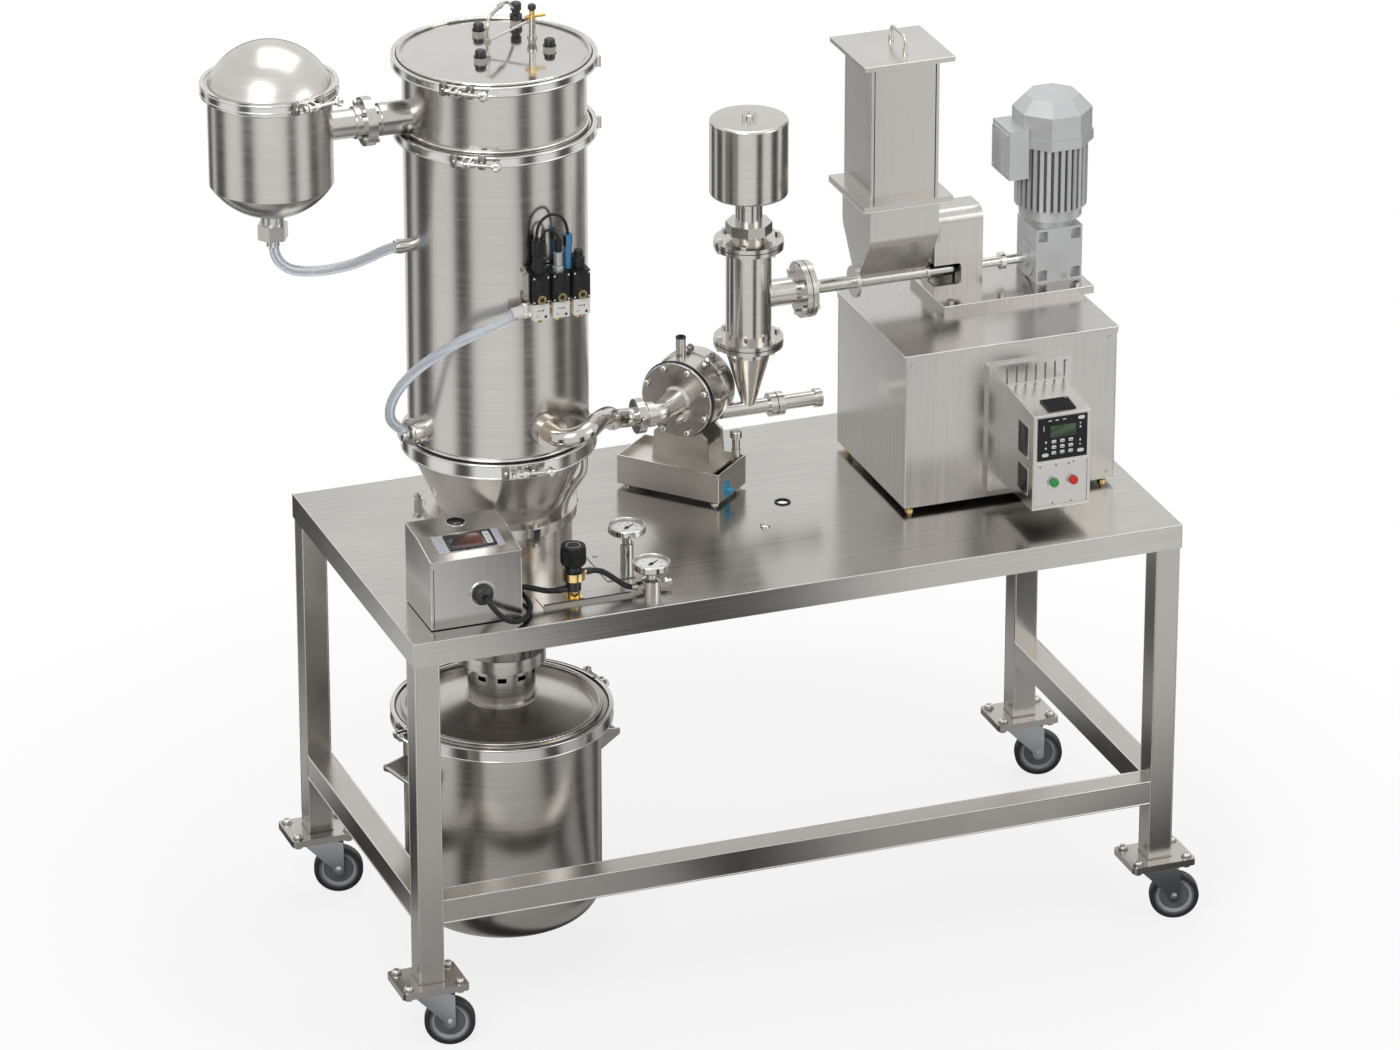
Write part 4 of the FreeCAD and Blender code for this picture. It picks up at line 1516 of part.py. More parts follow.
def air_service():
    """Regulator with its knob, and two upright gauges on flanged posts."""
    x, y = REG_X, REG_Y
    base = TABLE_H + 6
    body = turned([
        (0, 0), (13, 0), (13, 12), (15, 13), (15, 34), (22.5, 36), (22.5, 52), (16, 53), (16, 65), (0, 65)],
        (x, y, base))
    ports = [bar(7, (x - 32, y, base + 16), (x - 12, y, base + 16)),
             bar(7, (x + 12, y, base + 47), (x + 36, y, base + 47))]
    rail = block((288, 68, TABLE_H), (467, 118, TABLE_H + 2))
    edge = block((288, 68, TABLE_H + 2), (467, 70, base + 2))
    stand = block((x - 16, y - 16, TABLE_H + 2), (x + 16, y + 16, base))
    plate = prism([(445, 143), (503, 143), (503, 325), (470, 325), (445, 292)], TABLE_H, TABLE_H + 2, "z")
    plate = plate.cut(bar(BACK_POST_R + MOVE_GAP, (*BACK_GAUGE[:2], TABLE_H), (*BACK_GAUGE[:2], TABLE_H + 2)))
    screws = [bar(5, (sx, sy, TABLE_H + 2), (sx, sy, TABLE_H + 4)) for sx, sy in ((462, 170), (462, 262))]
    body = body.cut(turned([(0, 58), (6 + RUN_FIT, 58), (6 + RUN_FIT, 66), (0, 66)], (x, y, base)))
    node("regulator", fused(body, *ports), fused(rail, edge), stand, plate, *screws)
    knob_foot = base + 65 + MOVE_GAP
    knob = turned([(0, 0), (KNOB_R - 4, 0), (KNOB_R, 4), (KNOB_R, KNOB_H, 2), (0, KNOB_H)], (x, y, knob_foot))
    knob = knob.fuse(bar(6, (x, y, knob_foot - 6), (x, y, knob_foot + 1)))
    node("regulator_knob", knob.removeSplitter())

    parts = []
    gauges = (("front", FRONT_GAUGE, FRONT_POST_R), ("back", BACK_GAUGE, BACK_POST_R))
    for name, (gx, gy, gz), post_r in gauges:
        foot = turned([(0, 0), (post_r, 0), (post_r, gz - TABLE_H - 23), (post_r - 5, gz - TABLE_H - 22),
                       (10, gz - TABLE_H - 20), (10, gz - TABLE_H), (0, gz - TABLE_H)], (gx, gy, TABLE_H))
        case = turned([
            (0, 0), (GAUGE_R - 4, 0), (GAUGE_R, 4), (GAUGE_R, GAUGE_H, 1.5), (GAUGE_R - 4, GAUGE_H),
            (GAUGE_R - 4, GAUGE_H - 6), (0, GAUGE_H - 6)], (gx, gy, gz))
        pin = (gx, gy, gz + GAUGE_H - 12), (gx, gy, gz + GAUGE_H)
        case = case.cut(bar(NEEDLE_PIN_R + RUN_FIT, *pin))
        parts.append(fused(foot, case))
        dial = gz + GAUGE_H - 6 + MOVE_GAP
        arm = prism([(-8, -1.6), (NEEDLE_L, -0.8), (NEEDLE_L, 0.8), (-8, 1.6)], 0, 1, "z")
        arm = fused(arm, bar(4, (0, 0, 0), (0, 0, 2)), bar(NEEDLE_PIN_R, (0, 0, -5), (0, 0, 1)))
        node("gauge_needle_" + name, placed(arm, (gx, gy, dial), 35))
    gx, gy, gz = FRONT_GAUGE
    for way in (-1, 1):
        near = gx + way * 17
        parts.append(fused(hexagon(16, (near, gy, 889), (near + way * 14, gy, 889)),
                           bar(6, (near + way * 12, gy, 889), (near + way * 24, gy, 889))))
        parts[-1] = parts[-1].cut(bar(FRONT_POST_R, (gx, gy, TABLE_H), (gx, gy, 900)))
    node("gauge_manifold", *parts)


def black_hoses():
    """Power cable of the control box, air hoses, and the valves' cables."""
    base = TABLE_H + 6
    mid = VALVE_FRONT_Y + COIL_W / 2
    tops = [COIL_TOP + 69, COIL_TOP + 66, COIL_TOP + 68]
    x1, x2, x3 = VALVE_X, VALVE_X + VALVE_PITCH, VALVE_X + 2 * VALVE_PITCH - PLUG_OFFSET
    low = BOX_LOW_Z
    side = BOX_RIGHT_X
    return [
        hose("power cable", CABLE_R, [
            (GLAND_X, BOX_FRONT_Y - 10, GLAND_Z), (160, 16, low + 53), (172, 4, low + 35),
            (191, 2, low + 17), (215, 10, low + 7), (side + 4, 30, low + 4.5), (side + 21, 57, low + 6),
            (side + 30, 88, low + 6), (side + 30, 115, low + 8), (side + 25, 133, low + 14),
            (side + 10, *CABLE_ENTRY), (side + 2, *CABLE_ENTRY)]),
        hose("inlet hose", AIR_HOSE_R, [
            (REG_X - 32, REG_Y, base + 16), (REG_X - 46, REG_Y, base + 16),
            (REG_X - 64, REG_Y + 3, base + 20), (REG_X - 84, REG_Y + 11, base + 25),
            (side + 22, *AIR_ENTRY), (side + 2, *AIR_ENTRY)]),
        hose("gauge hose", AIR_HOSE_R, [
            (REG_X + 36, REG_Y, base + 47), (REG_X + 54, REG_Y + 2, base + 44),
            (REG_X + 68, REG_Y - 2, base + 36), (REG_X + 86, REG_Y - 9, base + 22),
            (REG_X + 101, REG_Y - 17, base + 11), (FRONT_GAUGE[0] - 41, FRONT_GAUGE[1], base + 8)]),
        hose("long valve cable", 3.0, [
            (x1 - 3, mid, tops[0]), (x1 - 2, mid, tops[0] + 20), (x1 + 8, mid + 1, tops[0] + 38),
            (x1 + 26, mid + 3, tops[0] + 47), (x1 + 46, mid + 5, tops[0] + 42),
            (x3 - 2, mid + 7, tops[2] + 22), (x3, mid + 8, tops[2])]),
        hose("short valve cable", 2.5, [
            (x1 + 7, mid, tops[0]), (x1 + 9, mid, tops[0] + 9), (x1 + 17, mid, tops[0] + 16),
            (x1 + 28, mid, tops[0] + 16), (x2 - 3, mid, tops[1] + 9), (x2, mid, tops[1])]),
    ]


def seat(*names):
    """Bore the fittings that hold a hose to its own path."""
    for name in names:
        bored = []
        for solid in NODES[name]:
            for tube in NODES["hoses"]:
                if solid.BoundBox.intersect(tube.BoundBox):
                    solid = max(solid.cut(tube).Solids, key=lambda s: s.Volume)
            bored.append(solid)
        NODES[name] = bored


def export():
    """Move every piece so that the origin is the base centre, and write one file each."""
    box = Part.makeCompound([s for solids in NODES.values() for s in solids]).optimalBoundingBox()
    origin = V((box.XMin + box.XMax) / 2, (box.YMin + box.YMax) / 2, box.ZMin)
    print("origin", [round(c, 3) for c in origin], "size", box.XLength, box.YLength, box.ZLength)
    os.makedirs("parts", exist_ok=True)
    for name, solids in NODES.items():
        shape = Part.makeCompound(solids)
        shape.translate(origin * -1)
        shape.exportStep("parts/" + name + ".step")


table()
casters()
filter_tower()
clamps()
lid_fittings()
separator()
collecting_bin()
valves()
mill()
outlet_pipe()
feed_column()
feeder()
drive()
cabinet()
controller()
control_box()
air_service()
node("hoses", *clear_hoses(), *black_hoses())
seat("solenoid_valves", "filter_body", "separator_body", "control_box", "regulator", "gauge_manifold",
     "brass_fittings")
export()
print(len(NODES), "pieces")
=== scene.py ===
import math

import bpy
import numpy as np
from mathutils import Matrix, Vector


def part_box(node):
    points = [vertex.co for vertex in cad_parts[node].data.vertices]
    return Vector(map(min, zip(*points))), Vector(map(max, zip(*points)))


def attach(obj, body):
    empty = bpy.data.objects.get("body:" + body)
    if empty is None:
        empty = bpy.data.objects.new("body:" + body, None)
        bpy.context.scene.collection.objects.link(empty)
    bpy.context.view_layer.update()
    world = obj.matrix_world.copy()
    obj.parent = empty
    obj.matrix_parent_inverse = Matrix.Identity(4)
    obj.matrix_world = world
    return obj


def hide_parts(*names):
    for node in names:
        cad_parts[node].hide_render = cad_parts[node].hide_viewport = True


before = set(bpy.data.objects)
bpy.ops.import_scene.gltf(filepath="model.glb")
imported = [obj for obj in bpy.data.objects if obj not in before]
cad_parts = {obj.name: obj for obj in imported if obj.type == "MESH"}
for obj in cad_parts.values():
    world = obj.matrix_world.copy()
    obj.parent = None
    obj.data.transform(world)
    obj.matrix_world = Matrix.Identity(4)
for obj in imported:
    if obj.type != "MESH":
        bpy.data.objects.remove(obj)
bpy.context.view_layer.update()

# Studio
# A plain pale floor under one large soft lamp and two fill lamps, seen from the front left and above.
# Reflections meet the floor in soft darker sectors round the machine, so that the steel gets its bands.
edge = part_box("table_top")[0]


def at(x, y, z):
    """Row frame point, in metres, of a place in mm from the table's front left corner at the floor."""
    return (edge[0] + x / 1000, edge[1] + y / 1000, z / 1000)


class Wire:
    """A shader socket that can stand in a sum: each sum on it adds one Math node."""

    def __init__(self, finish, socket):
        self.finish = finish
        self.socket = socket

    def sum(self, operation, first, second):
        """One Math node on two values or wires."""
        return self.finish.make("ShaderNodeMath", {"operation": operation}, {0: first, 1: second})

    def __add__(self, other):
        return self.sum("ADD", self, other)

    def __sub__(self, other):
        return self.sum("SUBTRACT", self, other)

    def __rsub__(self, other):
        return self.sum("SUBTRACT", other, self)

    def __mul__(self, other):
        return self.sum("MULTIPLY", self, other)

    def __gt__(self, other):
        return self.sum("GREATER_THAN", self, other)

    def __lt__(self, other):
        return self.sum("LESS_THAN", self, other)

    __radd__ = __add__
    __rmul__ = __mul__


class Finish:
    """One material: a Principled shader and the nodes that vary it in Object coordinates."""

    def __init__(self, name, **constants):
        self.material = bpy.data.materials.new(name)
        self.material.use_nodes = True
        self.tree = self.material.node_tree
        self.shader = self.tree.nodes["Principled BSDF"]
        self.spot = self.make("ShaderNodeTexCoord", output="Object")
        for key, value in constants.items():
            self.shader.inputs[key.replace("_", " ")].default_value = value

    def make(self, kind, settings=None, inputs=None, output=0):
        """Any node: its settings first, then the values or wires of its sockets; gives one output."""
        node = self.tree.nodes.new(kind)
        for key, value in (settings or {}).items():
            setattr(node, key, value)
        for key, value in (inputs or {}).items():
            if isinstance(value, Wire):
                self.tree.links.new(value.socket, node.inputs[key])
            else:
                node.inputs[key].default_value = value
        return Wire(self, node.outputs[output])

    def put(self, **wires):
        """Lead wires into the shader's sockets, named with _ for each space."""
        for key, wire in wires.items():
            self.tree.links.new(wire.socket, self.shader.inputs[key.replace("_", " ")])

    def axis(self, name):
        """One coordinate of the surface point: X, Y or Z."""
        return self.make("ShaderNodeSeparateXYZ", None, {0: self.spot}, name)

    def mix(self, mask, off, on):
        """Colour off where the mask is 0 and on where it is 1."""
        return self.make("ShaderNodeMix", {"data_type": "RGBA"}, {0: mask, 6: off, 7: on}, 2)

    def noise(self, scale, stretch=(1, 1, 1), detail=2.0):
        """Cloud noise, drawn out along the axes whose stretch is small."""
        spread = self.make("ShaderNodeMapping", None, {"Vector": self.spot, "Scale": stretch})
        return self.make("ShaderNodeTexNoise", None, {"Vector": spread, "Scale": scale, "Detail": detail})

    def relief(self, height, depth):
        """Bump of a height field, depth in metres."""
        self.put(Normal=self.make("ShaderNodeBump", None, {"Height": height, "Distance": depth, "Strength": 0.5}))

    def inside(self, low, high):
        """1 within a box of two corners, else 0."""
        mask = None
        for name, a, b in zip("XYZ", low, high):
            side = self.axis(name)
            part = (side > a) * (side < b)
            mask = part if mask is None else mask * part
        return mask

    def round(self, centre, direction, radius):
        """1 within a radius of the line through centre along a direction, else 0."""
        arm = self.make("ShaderNodeVectorMath", {"operation": "SUBTRACT"}, {0: self.spot, 1: centre})
        cross = self.make("ShaderNodeVectorMath", {"operation": "CROSS_PRODUCT"}, {0: arm, 1: direction})
        return self.make("ShaderNodeVectorMath", {"operation": "LENGTH"}, {0: cross}, "Value") < radius

    def cover(self, mask, tone, gloss, metal=0.0):
        """Another surface over the one so far, where the mask is 1."""
        parts = {}
        for key, new in (("Roughness", gloss), ("Metallic", metal)):
            port = self.shader.inputs[key]
            old = Wire(self, port.links[0].from_socket) if port.links else port.default_value
            parts[key] = self.make("ShaderNodeMix", {"data_type": "FLOAT"}, {0: mask, 2: old, 3: new})
        under = Wire(self, self.shader.inputs["Base Color"].links[0].from_socket)
        self.put(Base_Color=self.mix(mask, under, (*tone, 1)), **parts)


view = Vector((0.31992, 0.85454, -0.40915))
camera = bpy.data.cameras.new("camera")
camera.lens = 190.42
camera.sensor_width = 36.0
viewer = bpy.data.objects.new("camera", camera)
viewer.location = at(-3966.4, -12152.1, 6852.6)
viewer.rotation_euler = view.to_track_quat("-Z", "Y").to_euler()
bpy.context.collection.objects.link(viewer)
bpy.context.scene.camera = viewer
bpy.context.scene.view_settings.view_transform = "Standard"

for name, place, size, power in (
        ("key", (-3.2, -3.6, 5.2), 3.0, 150), ("fill", (4.2, -4.2, 3.6), 3.0, 60), ("top", (0.5, 1.2, 5.6), 3.5, 70)):
    lamp = bpy.data.lights.new(name, "AREA")
    lamp.size = size
    lamp.energy = power
    light = bpy.data.objects.new(name, lamp)
    light.location = place
    light.rotation_euler = (Vector((0, 0, 1.0)) - Vector(place)).to_track_quat("-Z", "Y").to_euler()
    bpy.context.collection.objects.link(light)

world = bpy.data.worlds.new("studio")
world.use_nodes = True
bpy.context.scene.world = world
backdrop = world.node_tree.nodes["Background"]
paths = world.node_tree.nodes.new("ShaderNodeLightPath")
seen = paths.outputs["Is Camera Ray"]
for ray in ("Is Glossy Ray", "Is Transmission Ray"):
    either = world.node_tree.nodes.new("ShaderNodeMath")
    either.operation = "MAXIMUM"
    world.node_tree.links.new(seen, either.inputs[0])
    world.node_tree.links.new(paths.outputs[ray], either.inputs[1])
    seen = either.outputs[0]
level = world.node_tree.nodes.new("ShaderNodeMix")
level.data_type = "RGBA"
level.inputs[6].default_value = (0.4, 0.4, 0.4, 1)
level.inputs[7].default_value = (1, 1, 1, 1)
world.node_tree.links.new(seen, level.inputs[0])
world.node_tree.links.new(level.outputs[2], backdrop.inputs["Color"])

pale = Finish("pale floor", Roughness=0.9)
pale.shader.inputs["Base Color"].default_value = (0.88, 0.88, 0.88, 1)
far = pale.make("ShaderNodeVectorMath", {"operation": "LENGTH"}, {0: pale.spot}, "Value")
ramp = {"Value": far, "From Min": 0.9, "From Max": 2.0, "To Min": 0.8, "To Max": 1.0}
fade = pale.make("ShaderNodeMapRange", {"interpolation_type": "SMOOTHSTEP"}, ramp)
ramp = {"Value": far, "From Min": 0.5, "From Max": 2.4, "To Min": 0.4, "To Max": 1.0}
dim = pale.make("ShaderNodeMapRange", {"interpolation_type": "SMOOTHSTEP"}, ramp)
gloss = pale.make("ShaderNodeLightPath", None, None, "Is Glossy Ray")
flat = pale.make("ShaderNodeVectorMath", {"operation": "MULTIPLY"}, {0: pale.spot, 1: (1, 1, 0)})
flat = pale.make("ShaderNodeVectorMath", {"operation": "NORMALIZE"}, {0: flat})
for turn, half in ((-153, 13), (-77, 12), (-28, 17), (28, 20), (76, 16), (117, 16), (152, 18)):
    way = (math.cos(math.radians(turn)), math.sin(math.radians(turn)), 0)
    near = pale.make("ShaderNodeVectorMath", {"operation": "DOT_PRODUCT"}, {0: flat, 1: way}, "Value")
    ramp = {"Value": near, "From Min": math.cos(math.radians(half)), "From Max": math.cos(math.radians(half / 4)),
            "To Min": 1.0, "To Max": 0.07}
    dim = dim * pale.make("ShaderNodeMapRange", {"interpolation_type": "SMOOTHSTEP"}, ramp)
rays = pale.make("ShaderNodeLightPath", None, None, "Is Camera Ray")
tone = pale.mix(rays + gloss * dim, (0.02, 0.018, 0.016, 1), (1, 1, 1, 1))
glow = pale.make("ShaderNodeEmission", None, {"Color": tone, "Strength": 1.0})
blend = pale.make("ShaderNodeMixShader", None, {0: rays * fade + gloss, 2: glow})
pale.tree.links.new(pale.shader.outputs[0], blend.socket.node.inputs[1])
pale.tree.links.new(blend.socket, pale.tree.nodes["Material Output"].inputs[0])
bpy.ops.mesh.primitive_plane_add(size=80)
floor = bpy.context.object
floor.name = "floor"
floor.data.materials.append(pale.material)


# Table
# Folded stainless top with a skirt on a welded frame of square tube; the sheet is brushed along its
# length. A rubber grommet is pressed in the cable hole, and a steel plug closes a second hole beside it.
def steel(name, tone, roughness, stretch, shade=0.8, cloudy=5.0):
    """Rolled stainless sheet: noise drawn out along the rolling varies tone, gloss and relief."""
    f = Finish(name, Metallic=1.0)
    line = f.noise(1.0, stretch, 3.0)
    cloud = f.noise(cloudy, (1, 1, 1), 3.0)
    light, dark = ((*[c * k for c in tone], 1) for k in (0.9, 0.9 * shade))
    f.put(Base_Color=f.mix((line - 0.5) * 0.8 + (cloud - 0.5) * 1.1 + 0.5, dark, light),
          Roughness=(line - 0.5) * 0.1 + (cloud - 0.5) * 0.12 + roughness)
    f.relief(line, 0.00002)
    return f


def dress(finish, *nodes):
    """Give CAD nodes a finish."""
    for name in nodes:
        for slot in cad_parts[name].material_slots:
            slot.material = finish.material


Z = (0, 0, 1)


def turned(profile, centre, axis, ribs=0, depth=0.0, sides=64):
    """Grid of a turned piece, in mm.

    Point (i, j) is the centre, plus height i along the axis, plus radius i in the direction at angle j
    round it. Ribs add their depth times the cosine of their number times angle j to each radius.
    """
    radius, height = np.array(profile, float).T
    axis = np.array(axis, float) / np.linalg.norm(axis)
    side = np.cross(axis, Z if abs(axis[2]) < 0.9 else (0, 1, 0))
    side /= np.linalg.norm(side)
    angle = np.linspace(0, 2 * np.pi, sides, endpoint=False)[:, None]
    way = np.cos(angle) * side + np.sin(angle) * np.cross(axis, side)
    reach = radius[:, None, None] + depth * np.cos(ribs * angle)
    return np.array(centre) + height[:, None, None] * axis + reach * way


def surface(name, grids, finish, body="machine", ring=False):
    """One mesh from grids of points in mm: neighbouring rows and columns bound each face.

    Columns close on themselves. The rows close too on a ring; else each end row becomes one face.
    """
    faces = []
    start = 0
    for grid in grids:
        rows, columns = grid.shape[:2]
        index = start + np.arange(rows * columns).reshape(rows, columns)
        start += rows * columns
        above = np.roll(index, -1, 0) if ring else index[1:]
        below = index if ring else index[:-1]
        quads = np.stack([below, np.roll(below, -1, 1), np.roll(above, -1, 1), above], -1)
        faces += quads.reshape(-1, 4).tolist()
        if not ring:
            faces += [index[0, ::-1].tolist(), index[-1].tolist()]
    points = np.concatenate([grid.reshape(-1, 3) for grid in grids]) / 1000 + (edge[0], edge[1], 0)
    mesh = bpy.data.meshes.new(name)
    mesh.from_pydata(points.tolist(), [], faces)
    mesh.shade_smooth()
    mesh.set_sharp_from_angle(angle=math.radians(40))
    mesh.materials.append(finish.material)
    piece = bpy.data.objects.new(name, mesh)
    bpy.context.collection.objects.link(piece)
    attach(piece, body)


LONG, DEEP, TOP = 1600, 760, 875
dress(steel("table sheet", (0.64, 0.62, 0.585), 0.2, (3, 260, 260), 0.72, 2.2), "table_top")
frame_tube = steel("frame tube", (0.6, 0.575, 0.54), 0.25, (7, 7, 3), 0.78, 3.0)
dress(frame_tube, "table_frame", "caster_plates")
rubber = Finish("black rubber", Specular_IOR_Level=0.25)
grain = rubber.noise(80)
rubber.put(Base_Color=rubber.mix(grain, (0.008, 0.008, 0.009, 1), (0.02, 0.02, 0.022, 1)),
           Roughness=grain * 0.2 + 0.32)
surface("cable_grommet", [turned([
    (11.5, -3), (12.7, -3), (12.7, 0.1), (16.5, 0.1), (16.5, 1.4), (15.2, 2.4), (12.6, 2.4), (11.5, 1.2)],
    (900, 379, TOP), Z)], rubber, ring=True)
bright = steel("bright steel", (0.78, 0.76, 0.73), 0.16, (40, 40, 40), 0.88)


def rods(ends, radius):
    """Grids of round edges in mm: each a cylinder of one radius from its first point to its second."""
    grids = []
    for first, last in ends:
        run = np.subtract(last, first)
        long = np.linalg.norm(run)
        rows = [(radius * 0.7, 0), (radius, radius * 0.3), (radius, long - radius * 0.3), (radius * 0.7, long)]
        grids.append(turned(rows, first, run, sides=20))
    return grids


def rims(left, front, right, back, z):
    """Ends of the four edges round a rectangle that lies flat at a height."""
    corners = [(left, front, z), (right, front, z), (right, back, z), (left, back, z)]
    return list(zip(corners, corners[1:] + corners[:1]))


def posts(spots, low, high):
    """Ends of an upright edge at each spot."""
    return [((x, y, low), (x, y, high)) for x, y in spots]


folds = rims(1.2, 1.2, LONG - 1.2, DEEP - 1.2, TOP - 1.2) + posts(((1.2, 1.2), (LONG - 1.2, 1.2)), 825, 874)
surface("top_folds", rods(folds, 1.5), bright)
LEG, INSET = 50, 3
legs_x, legs_y = (INSET, LONG - INSET - LEG), (INSET, DEEP - INSET - LEG)
near, far = 1.4, LEG - 1.4
corners = [(left + x, front + y) for left in legs_x for front in legs_y
           for x, y in ((near, near), (far, near), (near, far), (far, far))]
surface("leg_edges", rods(posts(corners, 132, 823), 2.0), bright)
left, right, front, back = legs_x[0] + LEG, legs_x[1], legs_y[0] + LEG, legs_y[1]
under, over = 269.8, 318.2
rails = [((left, INSET, z), (right, INSET, z)) for z in (under, over)] + [((left, front, over), (right, front, over))]
rails += [((x, front, over), (x, back, over)) for x in (INSET + 0.8, left - 0.8, right + 0.8, right + LEG - 0.8)]
rails += [((INSET + 0.8, front, under), (INSET + 0.8, back, under))]
surface("rail_edges", rods(rails, 1.8), bright)
plug = [(10, 0), (10, 2.5), (8, 4), (4.5, 4), (4.5, 8), (3.4, 9)]
surface("hole_plug", [turned(plug, (826, 283, TOP + 0.1), Z)], bright)

# Casters
# Zinc plated swivel forks with a riveted axle; black rubber tyre on a grey nylon hub with a light ring.
# Each caster is screwed under a foot plate that is welded to the leg.
zinc = steel("zinc", (0.74, 0.77, 0.8), 0.26, (14, 14, 14))
dress(zinc, *[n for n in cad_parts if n.startswith("fork_")])
trail = math.radians(-17.8)
axle = (-math.sin(trail), math.cos(trail), 0)
for name in [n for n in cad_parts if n.startswith("wheel_")]:
    low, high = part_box(name)
    centre = [(a + b) / 2 for a, b in zip(low, high)]
    tyre = Finish("tyre " + name, Roughness=0.55)
    grain = tyre.noise(120)
    hub = tyre.round(centre, axle, 0.0401)
    light = tyre.round(centre, axle, 0.036) - tyre.round(centre, axle, 0.031)
    tone = tyre.mix(hub, (0.018, 0.018, 0.02, 1), (0.13, 0.135, 0.15, 1))
    tone = tyre.mix(light, tone, (0.5, 0.51, 0.53, 1))
    tyre.put(Base_Color=tyre.mix(grain * 0.3, tone, (0.05, 0.05, 0.055, 1)), Roughness=grain * 0.2 + 0.4)
    tyre.relief(grain, 0.0002)
    dress(tyre, name)
dark = steel("dark steel", (0.3, 0.285, 0.265), 0.28, (60, 60, 60))
PLATE_TOP = 143
washers, heads, welds = [], [], []
for left in legs_x:
    for front in legs_y:
        for across, deep in ((-53, -38), (53, -38), (53, 38), (-53, 38)):
            spot = (left + LEG / 2 + across, front + LEG / 2 + deep, PLATE_TOP)
            washers.append(turned([(11, 0), (11, 1.2), (10, 1.8)], spot, Z, sides=28))
            heads.append(turned([(8.6, 1.6), (8.6, 6.4), (7.2, 8.2), (4.6, 8.8)], spot, Z, sides=24))
        welds += rims(left, front, left + LEG, front + LEG, PLATE_TOP + 0.6)
surface("foot_plate_washers", washers, dark)
surface("foot_plate_screws", heads, bright)
surface("foot_welds", rods(welds, 1.9), dark)

# Filter tower
# Rolled stainless shells, brushed round and round, with rolled beads beside the joints; the lid is a
# polished disc. Channel bands grip the joints, drawn together by threaded closure screws.
shell = steel("tower shell", (0.66, 0.635, 0.6), 0.22, (2.0, 2.0, 190), 0.8, 3.0)
dress(shell, "filter_body", "filter_head", "discharge_cone", "base_collar")
dress(steel("polished disc", (0.68, 0.66, 0.63), 0.1, (40, 40, 40), 0.85), "filter_lid")
tower, vessel = (292, 338), (-155, 338)
bands = {"cone": (tower, 1132.5, 190, 14.5), "head": (tower, 1772.5, 195, 9.5), "lid": (tower, 1913.5, 196, 8.5),
         "separator": (vessel, 1912.5, 131, 8), "bin": (tower, 541, 220, 13)}
closures = {"lid_clamp_screw": ("lid", -130), "head_clamp_screw": ("head", -124), "cone_clamp_screw": ("cone", -97),
            "separator_clamp_screw": ("separator", -74), "bin_clamp_screw_left": ("bin", -168),
            "bin_clamp_screw_right": ("bin", 12)}
dress(bright, "clamp_bands", *closures)


def thread(start, axis, length, radius, pitch, depth, sides=18):
    """Grid of a screw thread, in mm.

    Point (i, j) lies at height i along the axis and angle j round it. Its radius adds the depth times a
    triangle wave of the height over the pitch, less the angle's share of a turn.
    """
    height = np.arange(0, length, pitch / 6)
    grid = turned(np.stack([np.ones_like(height), height], -1), start, axis, sides=sides)
    axis = np.array(axis, float) / np.linalg.norm(axis)
    middle = np.array(start) + height[:, None, None] * axis
    share = np.arange(sides) / sides
    wave = 1 - np.abs(2 * ((height[:, None] / pitch - share) % 1) - 1)
    return middle + (grid - middle) * (radius + depth * wave)[..., None]


def slab(centre, across, up, wide, high, thick, power=8.0, bevel=0.3, sides=36):
    """Grid of a tile, in mm.

    Point (i, j) is the centre, plus the signed cosine and sine of angle j raised to 2 over the power
    and times the half sizes, less row i's inset, along across and up, plus row i's rise square to both.
    """
    across = np.array(across, float) / np.linalg.norm(across)
    up = np.array(up, float) / np.linalg.norm(up)
    angle = np.linspace(0, 2 * np.pi, sides, endpoint=False)
    wave = np.stack([np.cos(angle), np.sin(angle)])
    x, y = np.sign(wave) * np.abs(wave) ** (2 / power)
    bevel = min(bevel, thick / 2)
    inset, rise = np.array([[0, 0], [0, thick - bevel], [bevel, thick]]).T[:, :, None, None]
    flat = (wide / 2 - inset) * x[:, None] * across + (high / 2 - inset) * y[:, None] * up
    return np.array(centre) + flat + rise * np.cross(across, up)


def bead(radius, height, size, points=12):
    """Profile of a round bead in mm: its size times the cosine and sine of each angle, round its middle."""
    angle = np.linspace(0, 2 * np.pi, points, endpoint=False)
    return np.stack([np.cos(angle), np.sin(angle)], -1) * size + (radius, height)


clips, rivets = [], []
for name, (band, turn) in closures.items():
    centre, z, radius = bands[band][:3]
    a = math.radians(turn)
    out = np.array((math.cos(a), math.sin(a), 0))
    along = np.array((-math.sin(a), math.cos(a), 0))
    middle = np.array((*centre, z))
    start = middle + (radius + 14) * out
    surface(name + "_thread", [thread(start + 17 * along, along, 32, 3.25, 1.5, 0.75)], bright, name)
    ball = [(0.5, -9), (6.4, -6.4), (9, 0), (6.4, 6.4), (0.5, 9)]
    surface(name + "_ball", [turned(ball, start + 60 * along, along, sides=24)], bright, name)
    for shift in (-27, 27):
        face = middle + out * (radius - 1.5) + shift * along
        clips.append(slab(face, along, Z, 15, 27, 5, 6, 1.2))
        rivets.append(turned([(3.4, 0), (3.4, 1.4), (2.2, 2.4)], face + 5 * out, out, sides=20))
surface("closure_clips", clips, dark)
surface("closure_rivets", rivets, bright)
beads, gasket_and_shade_rings = [], []
for centre, z, radius, half in bands.values():
    beads += [turned(bead(radius - 1.2, side * (half - 1.2), 2.3), (*centre, z), Z, sides=128) for side in (-1, 1)]
    # Partly real, partly painted shade: black rings inside the top of each band stand for the joints' gaskets and for
    # the dark shade line in the gap between band and shell.
    gasket_and_shade_rings.append(turned(bead(radius - 9.2, half - 1, 1.7), (*centre, z), Z, sides=128))
surface("rim_gaskets_and_shade_lines", gasket_and_shade_rings, rubber, ring=True)
for centre, radius, z, size in (
        (tower, 178, 1113.5, 3), (tower, 178, 1151.5, 3), (tower, 178, 1759, 3), (tower, 178, 1786, 3),
        (tower, 178, 1899, 3), (vessel, 119.5, 1896, 2.5), (tower, 197.5, 522, 3)):
    beads.append(turned(bead(radius, 0, size), (*centre, z), Z, sides=128))
surface("rolled_beads", beads, bright, ring=True)

